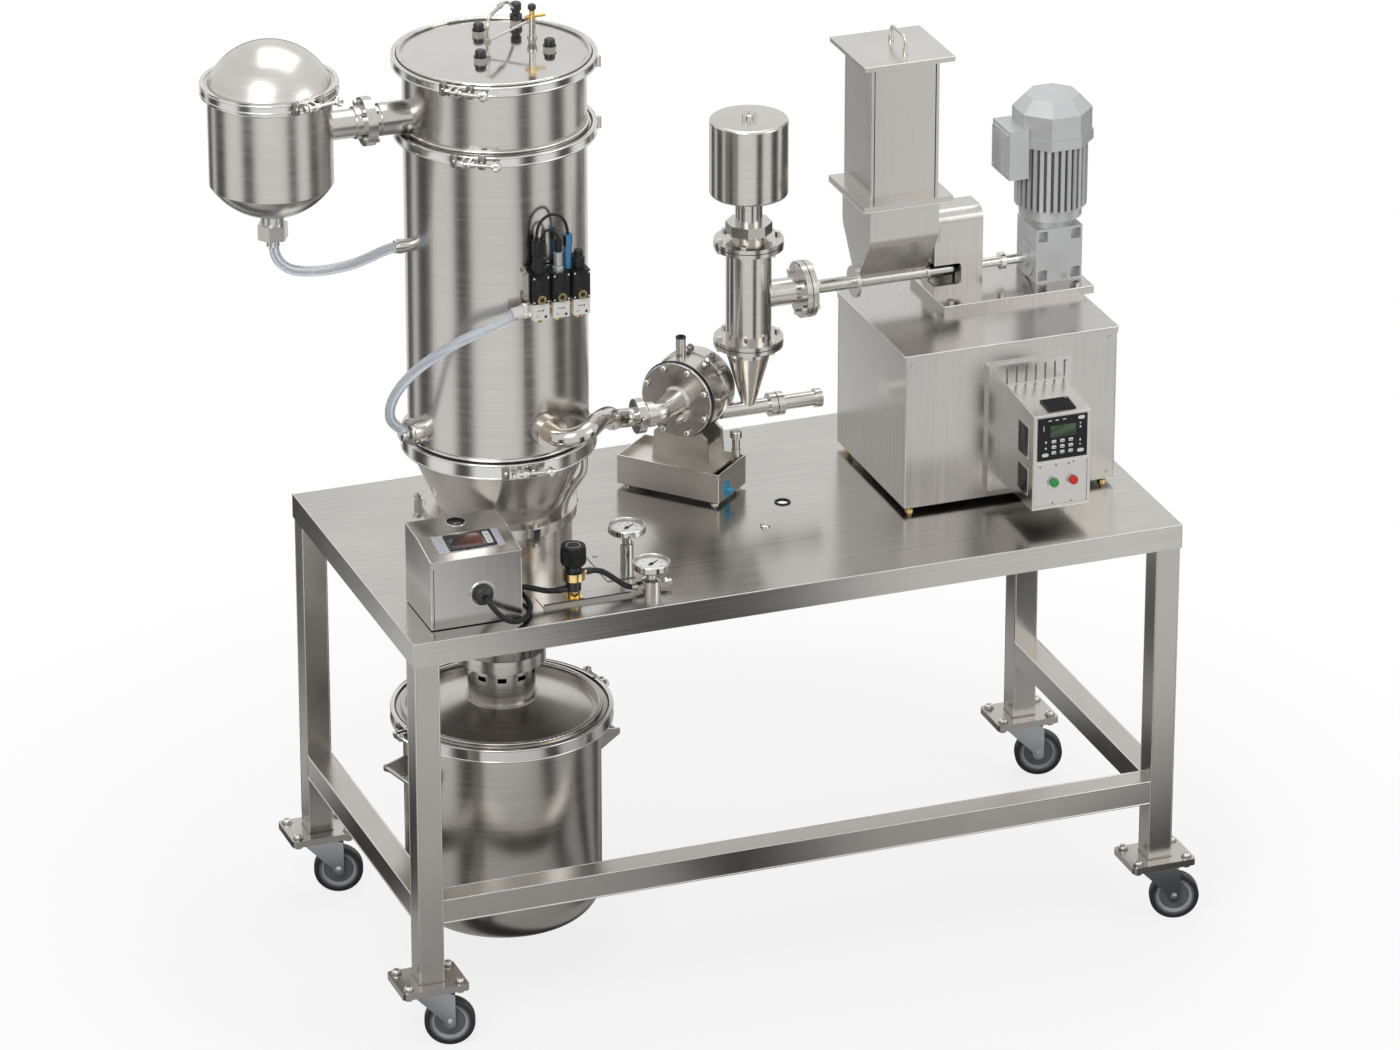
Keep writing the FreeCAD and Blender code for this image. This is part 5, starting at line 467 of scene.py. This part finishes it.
# Lid fittings
# Black cap nuts on steel hexagons, a black vent post, a tap with a brass head, and bent steel pipe,
# all screwed into bosses of the lid.
fitting = steel("lid fittings", (0.62, 0.6, 0.57), 0.18, (60, 60, 60))
height = fitting.axis("Z")
caps = fitting.round(at(377, 361, 0), Z, 0.009) * (height > 1.9869)
for x, y, reach in ((298, 445, 0.015), (254, 306, 0.015), (397, 318, 0.015), (384, 475, 0.0135)):
    caps = caps + fitting.round(at(x, y, 0), Z, reach) * (height > 1.9281)
fitting.cover(fitting.inside(at(340, 350, 1969), at(410, 372, 1987)), (0.72, 0.5, 0.2), 0.2, 1.0)
fitting.cover(caps, (0.014, 0.014, 0.015), 0.35)
dress(fitting, "lid_fittings")

# Separator
# Deep drawn vessel, polished, under a domed lid. A clear plastic hose leads from its drain nut to the
# tower, held at each end by a steel ferrule, and a second one leads from the valves to the tower's foot.
dress(steel("separator shell", (0.68, 0.655, 0.62), 0.25, (2.5, 2.5, 130), 0.82), "separator_body", "separator_dome")
clear = Finish("clear hose", Roughness=0.1, IOR=1.4, Transmission_Weight=0.6)
cloud = clear.noise(30)
clear.put(Base_Color=clear.mix(cloud, (0.62, 0.68, 0.75, 1), (0.86, 0.89, 0.92, 1)))
X = (1, 0, 0)
collar = [(11, 0), (12.6, 0.6), (12.6, 6), (11.8, 6.6), (11.8, 8), (12.6, 8.6), (12.6, 14), (11, 14.6)]
surface("ferrules", [
    turned(collar, (*vessel, 1589), Z), turned(collar, (86, tower[1], 1552), X),
    turned(collar, (76.3, 290.1, 1182), (0.976, 0.216, 0))], bright)


def cord(name, points, radius, finish):
    """Hose along a NURBS line of order 3 through its route's points; its length is measured."""
    curve = bpy.data.curves.new(name, "CURVE")
    curve.dimensions = "3D"
    line = curve.splines.new("NURBS")
    line.points.add(len(points) - 1)
    for spot, point in zip(line.points, points):
        spot.co = (*at(*point), 1)
    line.order_u = 3
    line.use_endpoint_u = True
    line.resolution_u = 10
    piece = bpy.data.objects.new(name, curve)
    bpy.context.collection.objects.link(piece)
    bare = bpy.data.meshes.new_from_object(piece)
    spots = np.array([v.co for v in bare.vertices])
    length = float(np.linalg.norm(np.diff(spots, axis=0), axis=1).sum())
    bpy.data.meshes.remove(bare)
    curve.bevel_depth = radius / 1000
    curve.bevel_resolution = 6
    curve.use_fill_caps = True
    curve.materials.append(finish.material)
    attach(piece, "machine")
    at(*points[0])
    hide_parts("hoses")


cord("drain_hose", [(-155, 338, 1611), (-155, 338, 1579), (-142, 338, 1550), (-115, 338, 1531), (-63, 338, 1523),
                    (-8, 338, 1526), (34, 338, 1536.5), (77, 338, 1552), (102, 338, 1552)], 10, clear)
cord("pulse_hose", [(270, 142, 1466), (234, 139, 1452), (188, 141, 1437), (141, 150, 1416), (99, 169, 1384),
                    (66, 196, 1344), (46, 226, 1298), (42, 254, 1252), (55, 276, 1212), (91.9, 293.6, 1182)], 10, clear)

# Collecting bin
# Bin of brushed sheet, drawn in one with its rounded bottom; bar handles welded on, and a lid with a
# slotted neck that lets the coupling be reached.
dress(steel("bin shell", (0.62, 0.59, 0.55), 0.25, (2.0, 2.0, 170), 0.8, 3.0), "bin_body", "bin_handles", "bin_lid")

# Pulse valves
# Three black coils on white valve blocks with brass ports, plugs on top, and a knurled nut for the hose.
# Each coil has a raised cover held by steel screws, and each block a printed arrow.
valve = Finish("valve plastic", Specular_IOR_Level=0.3)
height = valve.axis("Z")
grain = valve.noise(90)
valve.put(Base_Color=valve.mix(grain, (0.006, 0.006, 0.007, 1), (0.015, 0.015, 0.017, 1)), Roughness=grain * 0.15 + 0.3)
valve.relief(grain, 0.0001)
valve.cover(height < 1.4839, (0.66, 0.65, 0.61), 0.4)
coils = (308.5, 349.5, 390.5)
collar = valve.round(at(coils[1], 142.5, 0), Z, 0.0115) * (height > 1.541) * (height < 1.58)
valve.cover(collar, (0.42, 0.44, 0.46), 0.3, 0.6)
sleeve = valve.round(at(371.5, 151, 0), Z, 0.0086) * (height > 1.541)
valve.cover(sleeve, (0.06, 0.2, 0.36), 0.35)
dress(valve, "solenoid_valves")
brass = Finish("brass", Metallic=1.0)
grain = brass.noise(60)
brass.put(Base_Color=brass.mix(grain, (0.7, 0.54, 0.26, 1), (0.86, 0.72, 0.42, 1)), Roughness=grain * 0.15 + 0.16)
dress(brass, "brass_fittings")
FRONT = (0, -1, 0)
dot = [(1.9, 0), (1.9, 0.9), (1.3, 1.3)]
covers, screws, ports, marks = [], [], [], []
coil_face, block_face = 125, 126
for x in coils:
    covers.append(slab((x, coil_face, 1517), X, Z, 28, 34, 1.2))
    screws += [turned(dot, (x + dx, coil_face, z), FRONT, sides=20) for dx in (-14, 14) for z in (1488, 1537)]
    ports.append(turned([(4.4, 0), (4.4, 3), (3.2, 3.8)], (x, coil_face, 1494), FRONT, sides=32))
    for dx, z, w, h, power in (
            (-2, 1470, 11, 1.3, 8), (4.5, 1470, 3, 4, 1.2), (9, 1457, 5, 5, 8), (-8, 1459, 6, 1.2, 8)):
        marks.append(slab((x + dx, block_face, z), X, Z, w, h, 0.2, power))
surface("coil_covers", covers, rubber)
surface("coil_screws", screws, bright)
surface("port_plugs", ports, rubber)
surface("block_marks", marks, rubber)
nut = [(13.6, 0), (14.3, 0.8), (14.3, 11.2), (13.6, 12)]
surface("hose_nut", [turned(nut, (277.5, 142.5, 1468), X, ribs=30, depth=0.6, sides=180)], bright)

# Mill
# Polished mill on an open stand: a drum closed by a disc with eight screws against a black seal, and three
# clamp bolts along it. A blue push-in fitting sits at the stand's end. The curved pipe to the tower shows
# light straw heat tint at its weld.
mill = steel("mill steel", (0.7, 0.675, 0.64), 0.24, (60, 60, 60), 0.78, 12.0)
dress(mill, "mill_drum", "mill_cover", "mill_lock_screw")
pipe = steel("bent pipe", (0.64, 0.61, 0.57), 0.13, (24, 24, 24), 0.85, 9.0)
tint = pipe.round(at(331.6, 166.5, 1203), (0.225, -0.974, 0), 0.045) * (pipe.axis("Y") > at(0, 120, 0)[1])
pipe.cover(tint * pipe.noise(18), (0.5, 0.4, 0.28), 0.2, 1.0)
dress(pipe, "outlet_pipe")
lean = math.radians(-48)
MILL_X, MILL_Y, MIDDLE = 739, 522, 1070


def on_mill(x, y, z):
    """Point in mm from the mill's own directions, its front towards -y before it is turned."""
    return (MILL_X + x * math.cos(lean) - y * math.sin(lean), MILL_Y + x * math.sin(lean) + y * math.cos(lean), z)


stand = steel("stand sheet", (0.8, 0.765, 0.72), 0.36, (5, 5, 60), 0.8, 6.0)
push = stand.round(at(*on_mill(120, -23, 901)), Z, 0.013)
stand.cover(push * (stand.axis("Z") < 0.92), (0.03, 0.3, 0.5), 0.3)
dress(stand, "mill_base")
corners = [on_mill(x, y, 0)[:2] for x, y in ((-113, -58), (113, -58), (113, 58), (-113, 58))]
STAND_TOP = 943
folds = [((*a, STAND_TOP), (*b, STAND_TOP)) for a, b in zip(corners, corners[1:] + corners[:1])]
surface("stand_folds", rods(folds + posts(corners, 884, STAND_TOP), 1.4), bright)
ahead, behind = (-0.743, -0.669, 0), (0.743, 0.669, 0)
surface("mill_seal", [turned(bead(79.2, 0, 1.4, 10), on_mill(0, -13, MIDDLE), behind, sides=96)], rubber, ring=True)
washers, heads = [], []
for turn in range(8):
    a = math.radians(22.5 + 45 * turn)
    spot = on_mill(69.5 * math.cos(a), -22, MIDDLE + 69.5 * math.sin(a))
    washers.append(turned([(8.2, 0), (8.2, 1.0), (7.4, 1.5)], spot, ahead, sides=24))
    heads.append(turned([(6.3, 1.4), (6.3, 6.6), (5.2, 8.0), (2.4, 8.6)], spot, ahead, sides=20))
for turn in (38, 62, 96):
    a = math.radians(turn)
    across, z = 84 * math.cos(a), MIDDLE + 84 * math.sin(a)
    heads.append(turned([(3.6, 0), (4.4, 1), (4.4, 28), (3.6, 29)], on_mill(across, 34, z), behind, sides=16))
    for y in (38, 54):
        washers.append(turned([(6.6, 0), (7.2, 0.6), (7.2, 4.4), (6.6, 5)], on_mill(across, y, z), behind, sides=20))
surface("mill_washers", washers, dark)
surface("mill_screw_heads", heads, bright)
surface("mill_tube_lip", [turned(bead(8.4, 0, (2.2, 2.4), 10), on_mill(-8, 13, 1191.5), Z, sides=40)], rubber,
        ring=True)

# Feed line
# Vent canister, flanged column and injector in polished tube; grey seals show between the bolted
# flanges. The hopper, its trough and the bearing cover are folded sheet, lapped at the corners.
dress(steel("column tube", (0.68, 0.655, 0.62), 0.19, (4, 4, 140), 0.8), "feed_column", "column_cone", "vent_canister")
dress(bright, "feed_screw", "flange_bolts")
hopper = steel("hopper sheet", (0.68, 0.66, 0.625), 0.25, (150, 150, 5), 0.8, 5.0)
dress(hopper, "feed_hopper", "bearing_cover")
dress(steel("hopper lid sheet", (0.68, 0.66, 0.625), 0.22, (5, 160, 160)), "hopper_lid")
wide = [(68, -0.7), (69.9, -0.7), (69.9, 0.7), (68, 0.7)]
narrow = [(56, -0.7), (57.4, -0.7), (57.4, 0.7), (56, 0.7)]
FEED_Y = 508
surface("flange_seals", [turned(wide, (876, FEED_Y, 1178), Z), turned(wide, (876, FEED_Y, 1386), Z),
                         turned(narrow, (992.5, FEED_Y, 1270), X)], rubber, ring=True)
folds = posts(((1106.6, 437.6), (1247.4, 437.6), (1106.6, 578.4)), 1456, 1744)
brim = (1082.8, 413.8, 1271.2, 602.2)
folds += rims(*brim, 1757) + rims(*brim, 1452.4)
surface("hopper_folds", rods(folds, 1.4), bright)
surface("corner_joints", [slab((x, 437, 1600), X, Z, 1.6, 286, 0.5, 20, 0.1) for x in (1112.5, 1241.5)], rubber)
surface("corner_laps", [slab((x, 437, 1610), X, Z, 5, 286, 0.7, 20) for x in (1109, 1245)]
        + [slab((1106, 440, 1610), FRONT, Z, 6, 286, 0.7, 20)], hopper)

# Drive
# Right-angle gearbox and finned motor, aluminium castings in light grey paint; the terminal box has a
# gasketed lid held by four screws.
paint = Finish("grey paint", Metallic=0.45)
grain = paint.noise(140)
cloud = paint.noise(9)
paint.put(Base_Color=paint.mix(cloud, (0.46, 0.465, 0.47, 1), (0.62, 0.625, 0.63, 1)), Roughness=grain * 0.2 + 0.28)
paint.relief(grain, 0.0002)
height = paint.axis("Z")
# Painted shade: the motor's fin roots are coloured near black where shade falls between the fins.
fin_gap_shade = paint.round(at(1521.5, FEED_Y, 0), Z, 0.0702) * (height > 1.386) * (height < 1.5195)
paint.cover(fin_gap_shade, (0.11, 0.11, 0.115), 0.5)
dress(paint, "motor", "gearbox")
side = (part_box("motor")[0][0] - edge[0]) * 1000
LID_Z = 1508
surface("terminal_lid", [slab((side, FEED_Y, LID_Z), FRONT, Z, 80, 94, 3.5, 14, 1.0)], paint)
screw = [(3, 0), (3, 1.2), (2, 1.8)]
surface("terminal_screws", [turned(screw, (side - 3.4, FEED_Y + across, LID_Z + rise), (-1, 0, 0), sides=24)
                            for across in (-34, 34) for rise in (-41, 41)], bright)

# Cabinet
# Folded sheet cabinet under a lapped cover, on small brass feet, with the drive's base plate bolted on top.
cabinet = steel("cabinet sheet", (0.64, 0.62, 0.59), 0.22, (150, 150, 4), 0.75, 3.5)
cabinet.cover(cabinet.axis("Z") < 0.8869, (0.75, 0.56, 0.24), 0.2, 1.0)
dress(cabinet, "cabinet")
folds = rims(1102, 236, 1556, 602, 1212.6) + rims(1256, 412, 1577, 590, 1229)
folds += posts(((1105, 239), (1553, 239), (1105, 599)), 889, 1199)
surface("cabinet_folds", rods(folds, 1.6), bright)

# Controller
# Sheet case on a slotted plate: a black key panel with a dark green display, small light keys and printed
# marks, a satin lower panel with the two push buttons, dark side windows and a black vent on top.
case = steel("controller sheet", (0.66, 0.645, 0.62), 0.24, (140, 140, 6), 0.88)
dress(case, "controller_case")
folds = posts(((1315, 89), (1436, 89)), 912.5, 1112) + [((1314, 89, z), (1437, 89, z)) for z in (913, 1112)]
folds += [((x, 89, 1112.2), (x, 226, 1126)) for x in (1315, 1436)]
surface("case_folds", rods(folds, 1.3), bright)
panel = Finish("black panel", Specular_IOR_Level=0.25)
grain = panel.noise(70)
panel.put(Base_Color=panel.mix(grain, (0.005, 0.005, 0.006, 1), (0.013, 0.013, 0.014, 1)), Roughness=grain * 0.1 + 0.25)
dress(panel, "controller_panel", "control_button", "regulator_knob", "gauge_needle_front", "gauge_needle_back")
print_white = Finish("printed white", Roughness=0.5)
grain = print_white.noise(200)
print_white.put(Base_Color=print_white.mix(grain, (0.55, 0.56, 0.58, 1), (0.78, 0.79, 0.8, 1)))
glass = Finish("green display", Roughness=0.12)
drift = glass.axis("Z") * 20 - 21.1
glass.put(Base_Color=glass.mix(drift + glass.noise(40) * 0.4, (0.02, 0.045, 0.022, 1), (0.06, 0.1, 0.05, 1)))
FACE = 86
surface("display_frame", [slab((1376, FACE, 1077), X, Z, 60, 31, 0.5, 14)], rubber)
surface("display_glass", [slab((1376, FACE - 0.5, 1077), X, Z, 54, 25, 0.4, 16)], glass)
key_spots = [(x, z) for x in (1357, 1375, 1393) for z in (1056, 1044, 1032)]
keys = [slab((x, FACE, z), X, Z, 9.5, 7, 1.0, 5, 0.4) for x, z in key_spots]
keys += [slab((x, FACE, z), X, Z, 14, 7.5, 0.8, 3, 0.4) for x, z in ((1415, 1100), (1414, 1030), (1339, 1029))]
surface("keys", keys, print_white)
marks = [slab((x, FACE, 1101), X, Z, 7, 2.2, 0.15) for x in (1348, 1363, 1379)]
marks += [slab((1340, FACE, z), X, Z, 4, 4, 0.15) for z in (1056, 1043)]
marks += [slab((1413, FACE, z), X, Z, 3, h, 0.15) for z, h in ((1088, 3), (1080, 5), (1052, 5), (1043, 3))]
marks.append(slab((1335, FACE, 1086), X, Z, 1.5, 12, 0.15))
surface("panel_marks", marks, print_white)
surface("key_marks", [slab((x, FACE - 0.02, z - 1), X, Z, 8, 1.2, 1.05, 4, 0.1) for x, z in key_spots], rubber)
PLATE = 88
border = [slab((1375.5, PLATE, z), X, Z, 113, 1.6, 0.8, 20) for z in (917.5, 1010.5)]
border += [slab((x, PLATE, 964), X, Z, 1.6, 92, 0.8, 20) for x in (1319.5, 1431.5)]
surface("panel_border", border, bright)
surface("panel_rivets", [turned([(1.6, 0), (1.6, 0.4), (1, 0.7)], (x, PLATE + 1.5, z), FRONT, sides=16) for x, z in (
    (1330, 1003), (1364, 1003), (1391, 1003), (1402, 1006), (1358, 922), (1397, 922))], rubber)
windows = ((137, 964, 52, 58), (137, 1048, 52, 70))
surface("window_frames", [slab((1314, y, z), FRONT, Z, w, h, 0.6, 16) for y, z, w, h in windows], bright)
surface("window_panes", [slab((1313.5, y, z), FRONT, Z, w - 5, h - 5, 0.4, 16) for y, z, w, h in windows], panel)
surface("vent_ribs", [slab((1379.5, 104 + 6 * row, 1117.7 + 0.72 * row), X, (0, 1, 0.118), 52, 2.2, 0.8, 10)
                      for row in range(7)], panel)
surface("vent_screw", [turned(dot, (1403, 139, 1122), Z, sides=20)], bright)
for name, tone in (("green_button", (0.01, 0.3, 0.05, 1)), ("red_button", (0.6, 0.008, 0.01, 1))):
    button = Finish(name, Roughness=0.25)
    grain = button.noise(50)
    button.put(Base_Color=button.mix(grain * 0.4, tone, tuple(c * 0.7 for c in tone[:3]) + (1,)))
    dress(button, name)

# Control box
# Folded box with a sloping lid, on rubber feet: a display with a dark red picture and a strip of light keys
# in a silver surround, a recessed black button in a bright ring, and a black cable gland in a chrome ring.
box = steel("control box sheet", (0.62, 0.6, 0.575), 0.2, (130, 130, 6), 0.82, 4.0)
gland_x, gland_z = 155, 938.5
dome = box.round(at(gland_x, 0, gland_z), (0, 1, 0), 0.0216) * (box.axis("Y") < at(0, 41.5, 0)[1])
box.cover(dome + (box.axis("Z") < 0.8769) + (box.axis("X") > at(236.2, 0, 0)[0]), (0.014, 0.014, 0.015), 0.35)
BUTTON = (146, 171)
well = box.round(at(*BUTTON, 0), Z, 0.0178) * (box.axis("Z") > 1.02)
box.cover(well, (0.02, 0.02, 0.02), 0.5)
dress(box, "control_box")
folds = posts(((53, 46), (235, 46)), 879, 1016) + [((52, 44.5, 1017), (236, 44.5, 1017))]
folds += [((x, 46, 1017.4), (x, 125.5, 1035.2)) for x in (53, 235)]
folds += [((x, 125.5, 1035.2), (x, 197, 1039)) for x in (53, 235)]
surface("box_folds", rods(folds, 1.4), bright)
surround = Finish("display surround", Roughness=0.3, Metallic=0.4)
grain = surround.noise(150)
screen = surround.inside(at(100.5, 70.5, 900), at(196.5, 118, 1100))
surround.put(Base_Color=surround.mix(grain, (0.5, 0.5, 0.51, 1), (0.6, 0.6, 0.62, 1)), Roughness=grain * 0.1 + 0.26)
surround.cover(screen, (0.01, 0.01, 0.012), 0.25)
dress(surround, "control_display")
STEEP = 0.2234
SLOPE = (0, 1, STEEP)


def on_lid(x, y, rise):
    """Point over the control box's sloping lid, in mm."""
    return (x, y - 0.22 * rise, 1018 + STEEP * (y - 45) + rise)


picture = Finish("red picture", Roughness=0.12)
drift = (picture.axis("X") - at(110, 0, 0)[0]) * 15 + (picture.axis("Y") - at(0, 76, 0)[1]) * -8
picture.put(Base_Color=picture.mix(drift + picture.noise(25) * 0.3, (0.02, 0.016, 0.018, 1), (0.16, 0.05, 0.035, 1)))
DISPLAY_Y, SURROUND_RISE, SHEET_RISE = 94.3, 4.05, 1.02
surface("picture", [slab(on_lid(139, DISPLAY_Y, SURROUND_RISE), X, SLOPE, 66, 38, 0.3, 20, 0.1)], picture)
surface("key_strip", [slab(on_lid(184, DISPLAY_Y, SURROUND_RISE), X, SLOPE, 13, 38, 0.5, 10)], print_white)
surface("strip_marks", [slab(on_lid(184, y, 4.55), X, SLOPE, 6, 1.6, 0.1) for y in (83, 92, 101)]
        + [slab(on_lid(x, 70, SHEET_RISE), X, SLOPE, w, 1.8, 0.1) for x, w in ((122, 3), (137, 8), (153, 5))], rubber)
band = Finish("lavender band", Roughness=0.35)
band.put(Base_Color=band.mix(band.noise(60), (0.42, 0.42, 0.52, 1), (0.55, 0.55, 0.64, 1)))
surface("side_bands", [slab(on_lid(x, DISPLAY_Y, SHEET_RISE), X, SLOPE, 13, 44, 0.1, 20, 0.05)
                       for x in (89, 204)], band)
surface("lamp_dot", [turned([(1.2, 0), (1.2, 0.2)], on_lid(173, 79, SURROUND_RISE), (0, -0.22, 1), sides=16)],
        print_white)
surface("button_mark", [slab((x, 168, 1036.1), X, (0, 1, 0), w, 2.4, 0.2) for x, w in ((144, 8), (152, 3))],
        print_white, "control_button")
collar = [(18.2, -1), (20.5, -1), (20.5, 0.8), (19.8, 1.2), (18.2, 1.2)]
surface("button_ring", [turned(collar, (*BUTTON, 1038.7), (0, -0.05, 1))], bright, ring=True)
ferrule = [(24.6, 0), (27, 0), (27, 2), (26, 3), (24.6, 3)]
surface("gland_ring", [turned(ferrule, (gland_x, 45, gland_z), FRONT)], bright, ring=True)
surface("box_seam", [slab((58, 45, 945), X, Z, 1.4, 128, 0.15, 20, 0.05)], rubber)

# Air service
# Regulator with a black body, brass nuts and a ribbed black knob; two gauges with white printed dials
# in polished steel cases, on steel posts.
reg = steel("regulator plates", (0.6, 0.58, 0.55), 0.2, (60, 60, 60))
height = reg.axis("Z")
reg.cover(height > 0.8811, (0.016, 0.016, 0.018), 0.3)
nuts = (height > 0.9149) * (height < 0.9331) + (height < 0.893) * (height > 0.8775)
REGULATOR = (358, 95)
reg.cover(nuts * reg.round(at(*REGULATOR, 0), Z, 0.026), (0.8, 0.6, 0.28), 0.18, 1.0)
dress(reg, "regulator")
ribbed = turned([(23.4, 0), (24.4, 1), (24.4, 29), (23.4, 30)], (*REGULATOR, 952), Z, ribs=36, depth=0.6, sides=216)
surface("knob_ribs", [ribbed], panel, "regulator_knob")
surface("knob_marks", [turned([(13, 0), (14, 0), (14, 0.3), (13, 0.3)], (*REGULATOR, 987.4), Z)], print_white,
        "regulator_knob", ring=True)
gauge = steel("gauge case", (0.66, 0.64, 0.61), 0.12, (60, 60, 60))
height = gauge.axis("Z")
spots = {"front": (510.6, 74.8, 931), "back": (502, 189, 961)}
dials = (gauge.round(at(*spots["front"]), Z, 0.0334) * (height > 0.9301) * (height < 0.9315)
         + gauge.round(at(*spots["back"]), Z, 0.0334) * (height > 0.9601))
gauge.cover(dials * (height < 0.9615), (0.84, 0.84, 0.82), 0.4)
dress(gauge, "gauge_manifold")


def numerals(name, labels, spots, size, finish):
    """Figures lying flat, facing up: each text is made a mesh first and its points moved to its spot."""
    points, faces = [], []
    for label, spot in zip(labels, spots):
        text = bpy.data.curves.new(name, "FONT")
        text.body = label
        text.size = size
        text.align_x = "CENTER"
        text.align_y = "CENTER"
        holder = bpy.data.objects.new(name, text)
        flat = bpy.data.meshes.new_from_object(holder)
        faces += [[len(points) + i for i in face.vertices] for face in flat.polygons]
        points += (np.array([v.co for v in flat.vertices]) + np.array(spot)).tolist()
        bpy.data.objects.remove(holder)
        bpy.data.curves.remove(text)
        bpy.data.meshes.remove(flat)
    mesh = bpy.data.meshes.new(name)
    mesh.from_pydata(points, [], faces)
    mesh.materials.append(finish.material)
    piece = bpy.data.objects.new(name, mesh)
    bpy.context.collection.objects.link(piece)
    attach(piece, "machine")


for name, (x, y, z) in spots.items():
    ticks = []
    for step in range(31):
        a = math.radians(225 - 9 * step)
        out = np.array((math.cos(a), math.sin(a), 0))
        wide, long = (1.1, 5) if step % 5 == 0 else (0.7, 3)
        ticks.append(slab(out * (31 - long / 2) + (x, y, z), (-out[1], out[0], 0), -out, wide, long, 0.15, sides=12))
    surface(f"ticks_{name}", ticks, panel)
    rim = [(31.4, 0), (32, 0), (32, 0.15), (31.4, 0.15)]
    surface(f"dial_ring_{name}", [turned(rim, (x, y, z), Z)], panel, ring=True)
    surface(f"bezel_{name}", [turned(bead(35.6, 0, 1.7, 10), (x, y, z + 5.6), Z, sides=96)], bright, ring=True)
    angles = [math.radians(225 - 54 * step) for step in range(6)]
    places = [at(x + 21.5 * math.cos(a), y + 21.5 * math.sin(a), z + 0.15) for a in angles]
    numerals(f"figures_{name}", ["0", "2", "4", "6", "8", "10"], places, 0.0075, panel)

# Black hoses and cables
# Rubber power cable from the gland round to the box's side, air hoses, and the valves' cables in arcs.
cord("power_cable", [(155, 35, 938.5), (160, 16, 930), (172, 4, 912), (191, 2, 894), (215, 10, 884), (240, 30, 881.5),
                     (257, 57, 883), (266, 88, 883), (266, 115, 885), (261, 133, 891), (246, 142, 894),
                     (238, 142, 894)], 5.25, rubber)
cord("inlet_hose", [(326, 95, 897), (312, 95, 897), (294, 98, 901), (274, 106, 906), (258, 109, 910), (238, 109, 910)],
     5.5, rubber)
cord("gauge_hose", [(394, 95, 928), (412, 97, 925), (426, 93, 917), (444, 86, 903), (459, 78, 892), (469.6, 74.8, 889)],
     5.5, rubber)
cord("long_valve_cable", [(305.5, 142.5, 1610), (306.5, 142.5, 1630), (316.5, 143.5, 1648), (334.5, 145.5, 1657),
                          (354.5, 147.5, 1652), (369.5, 149.5, 1631), (371.5, 150.5, 1609)], 3, rubber)
cord("short_valve_cable", [(315.5, 142.5, 1610), (317.5, 142.5, 1619), (325.5, 142.5, 1626), (336.5, 142.5, 1626),
                           (346.5, 142.5, 1616), (349.5, 142.5, 1607)], 2.5, rubber)
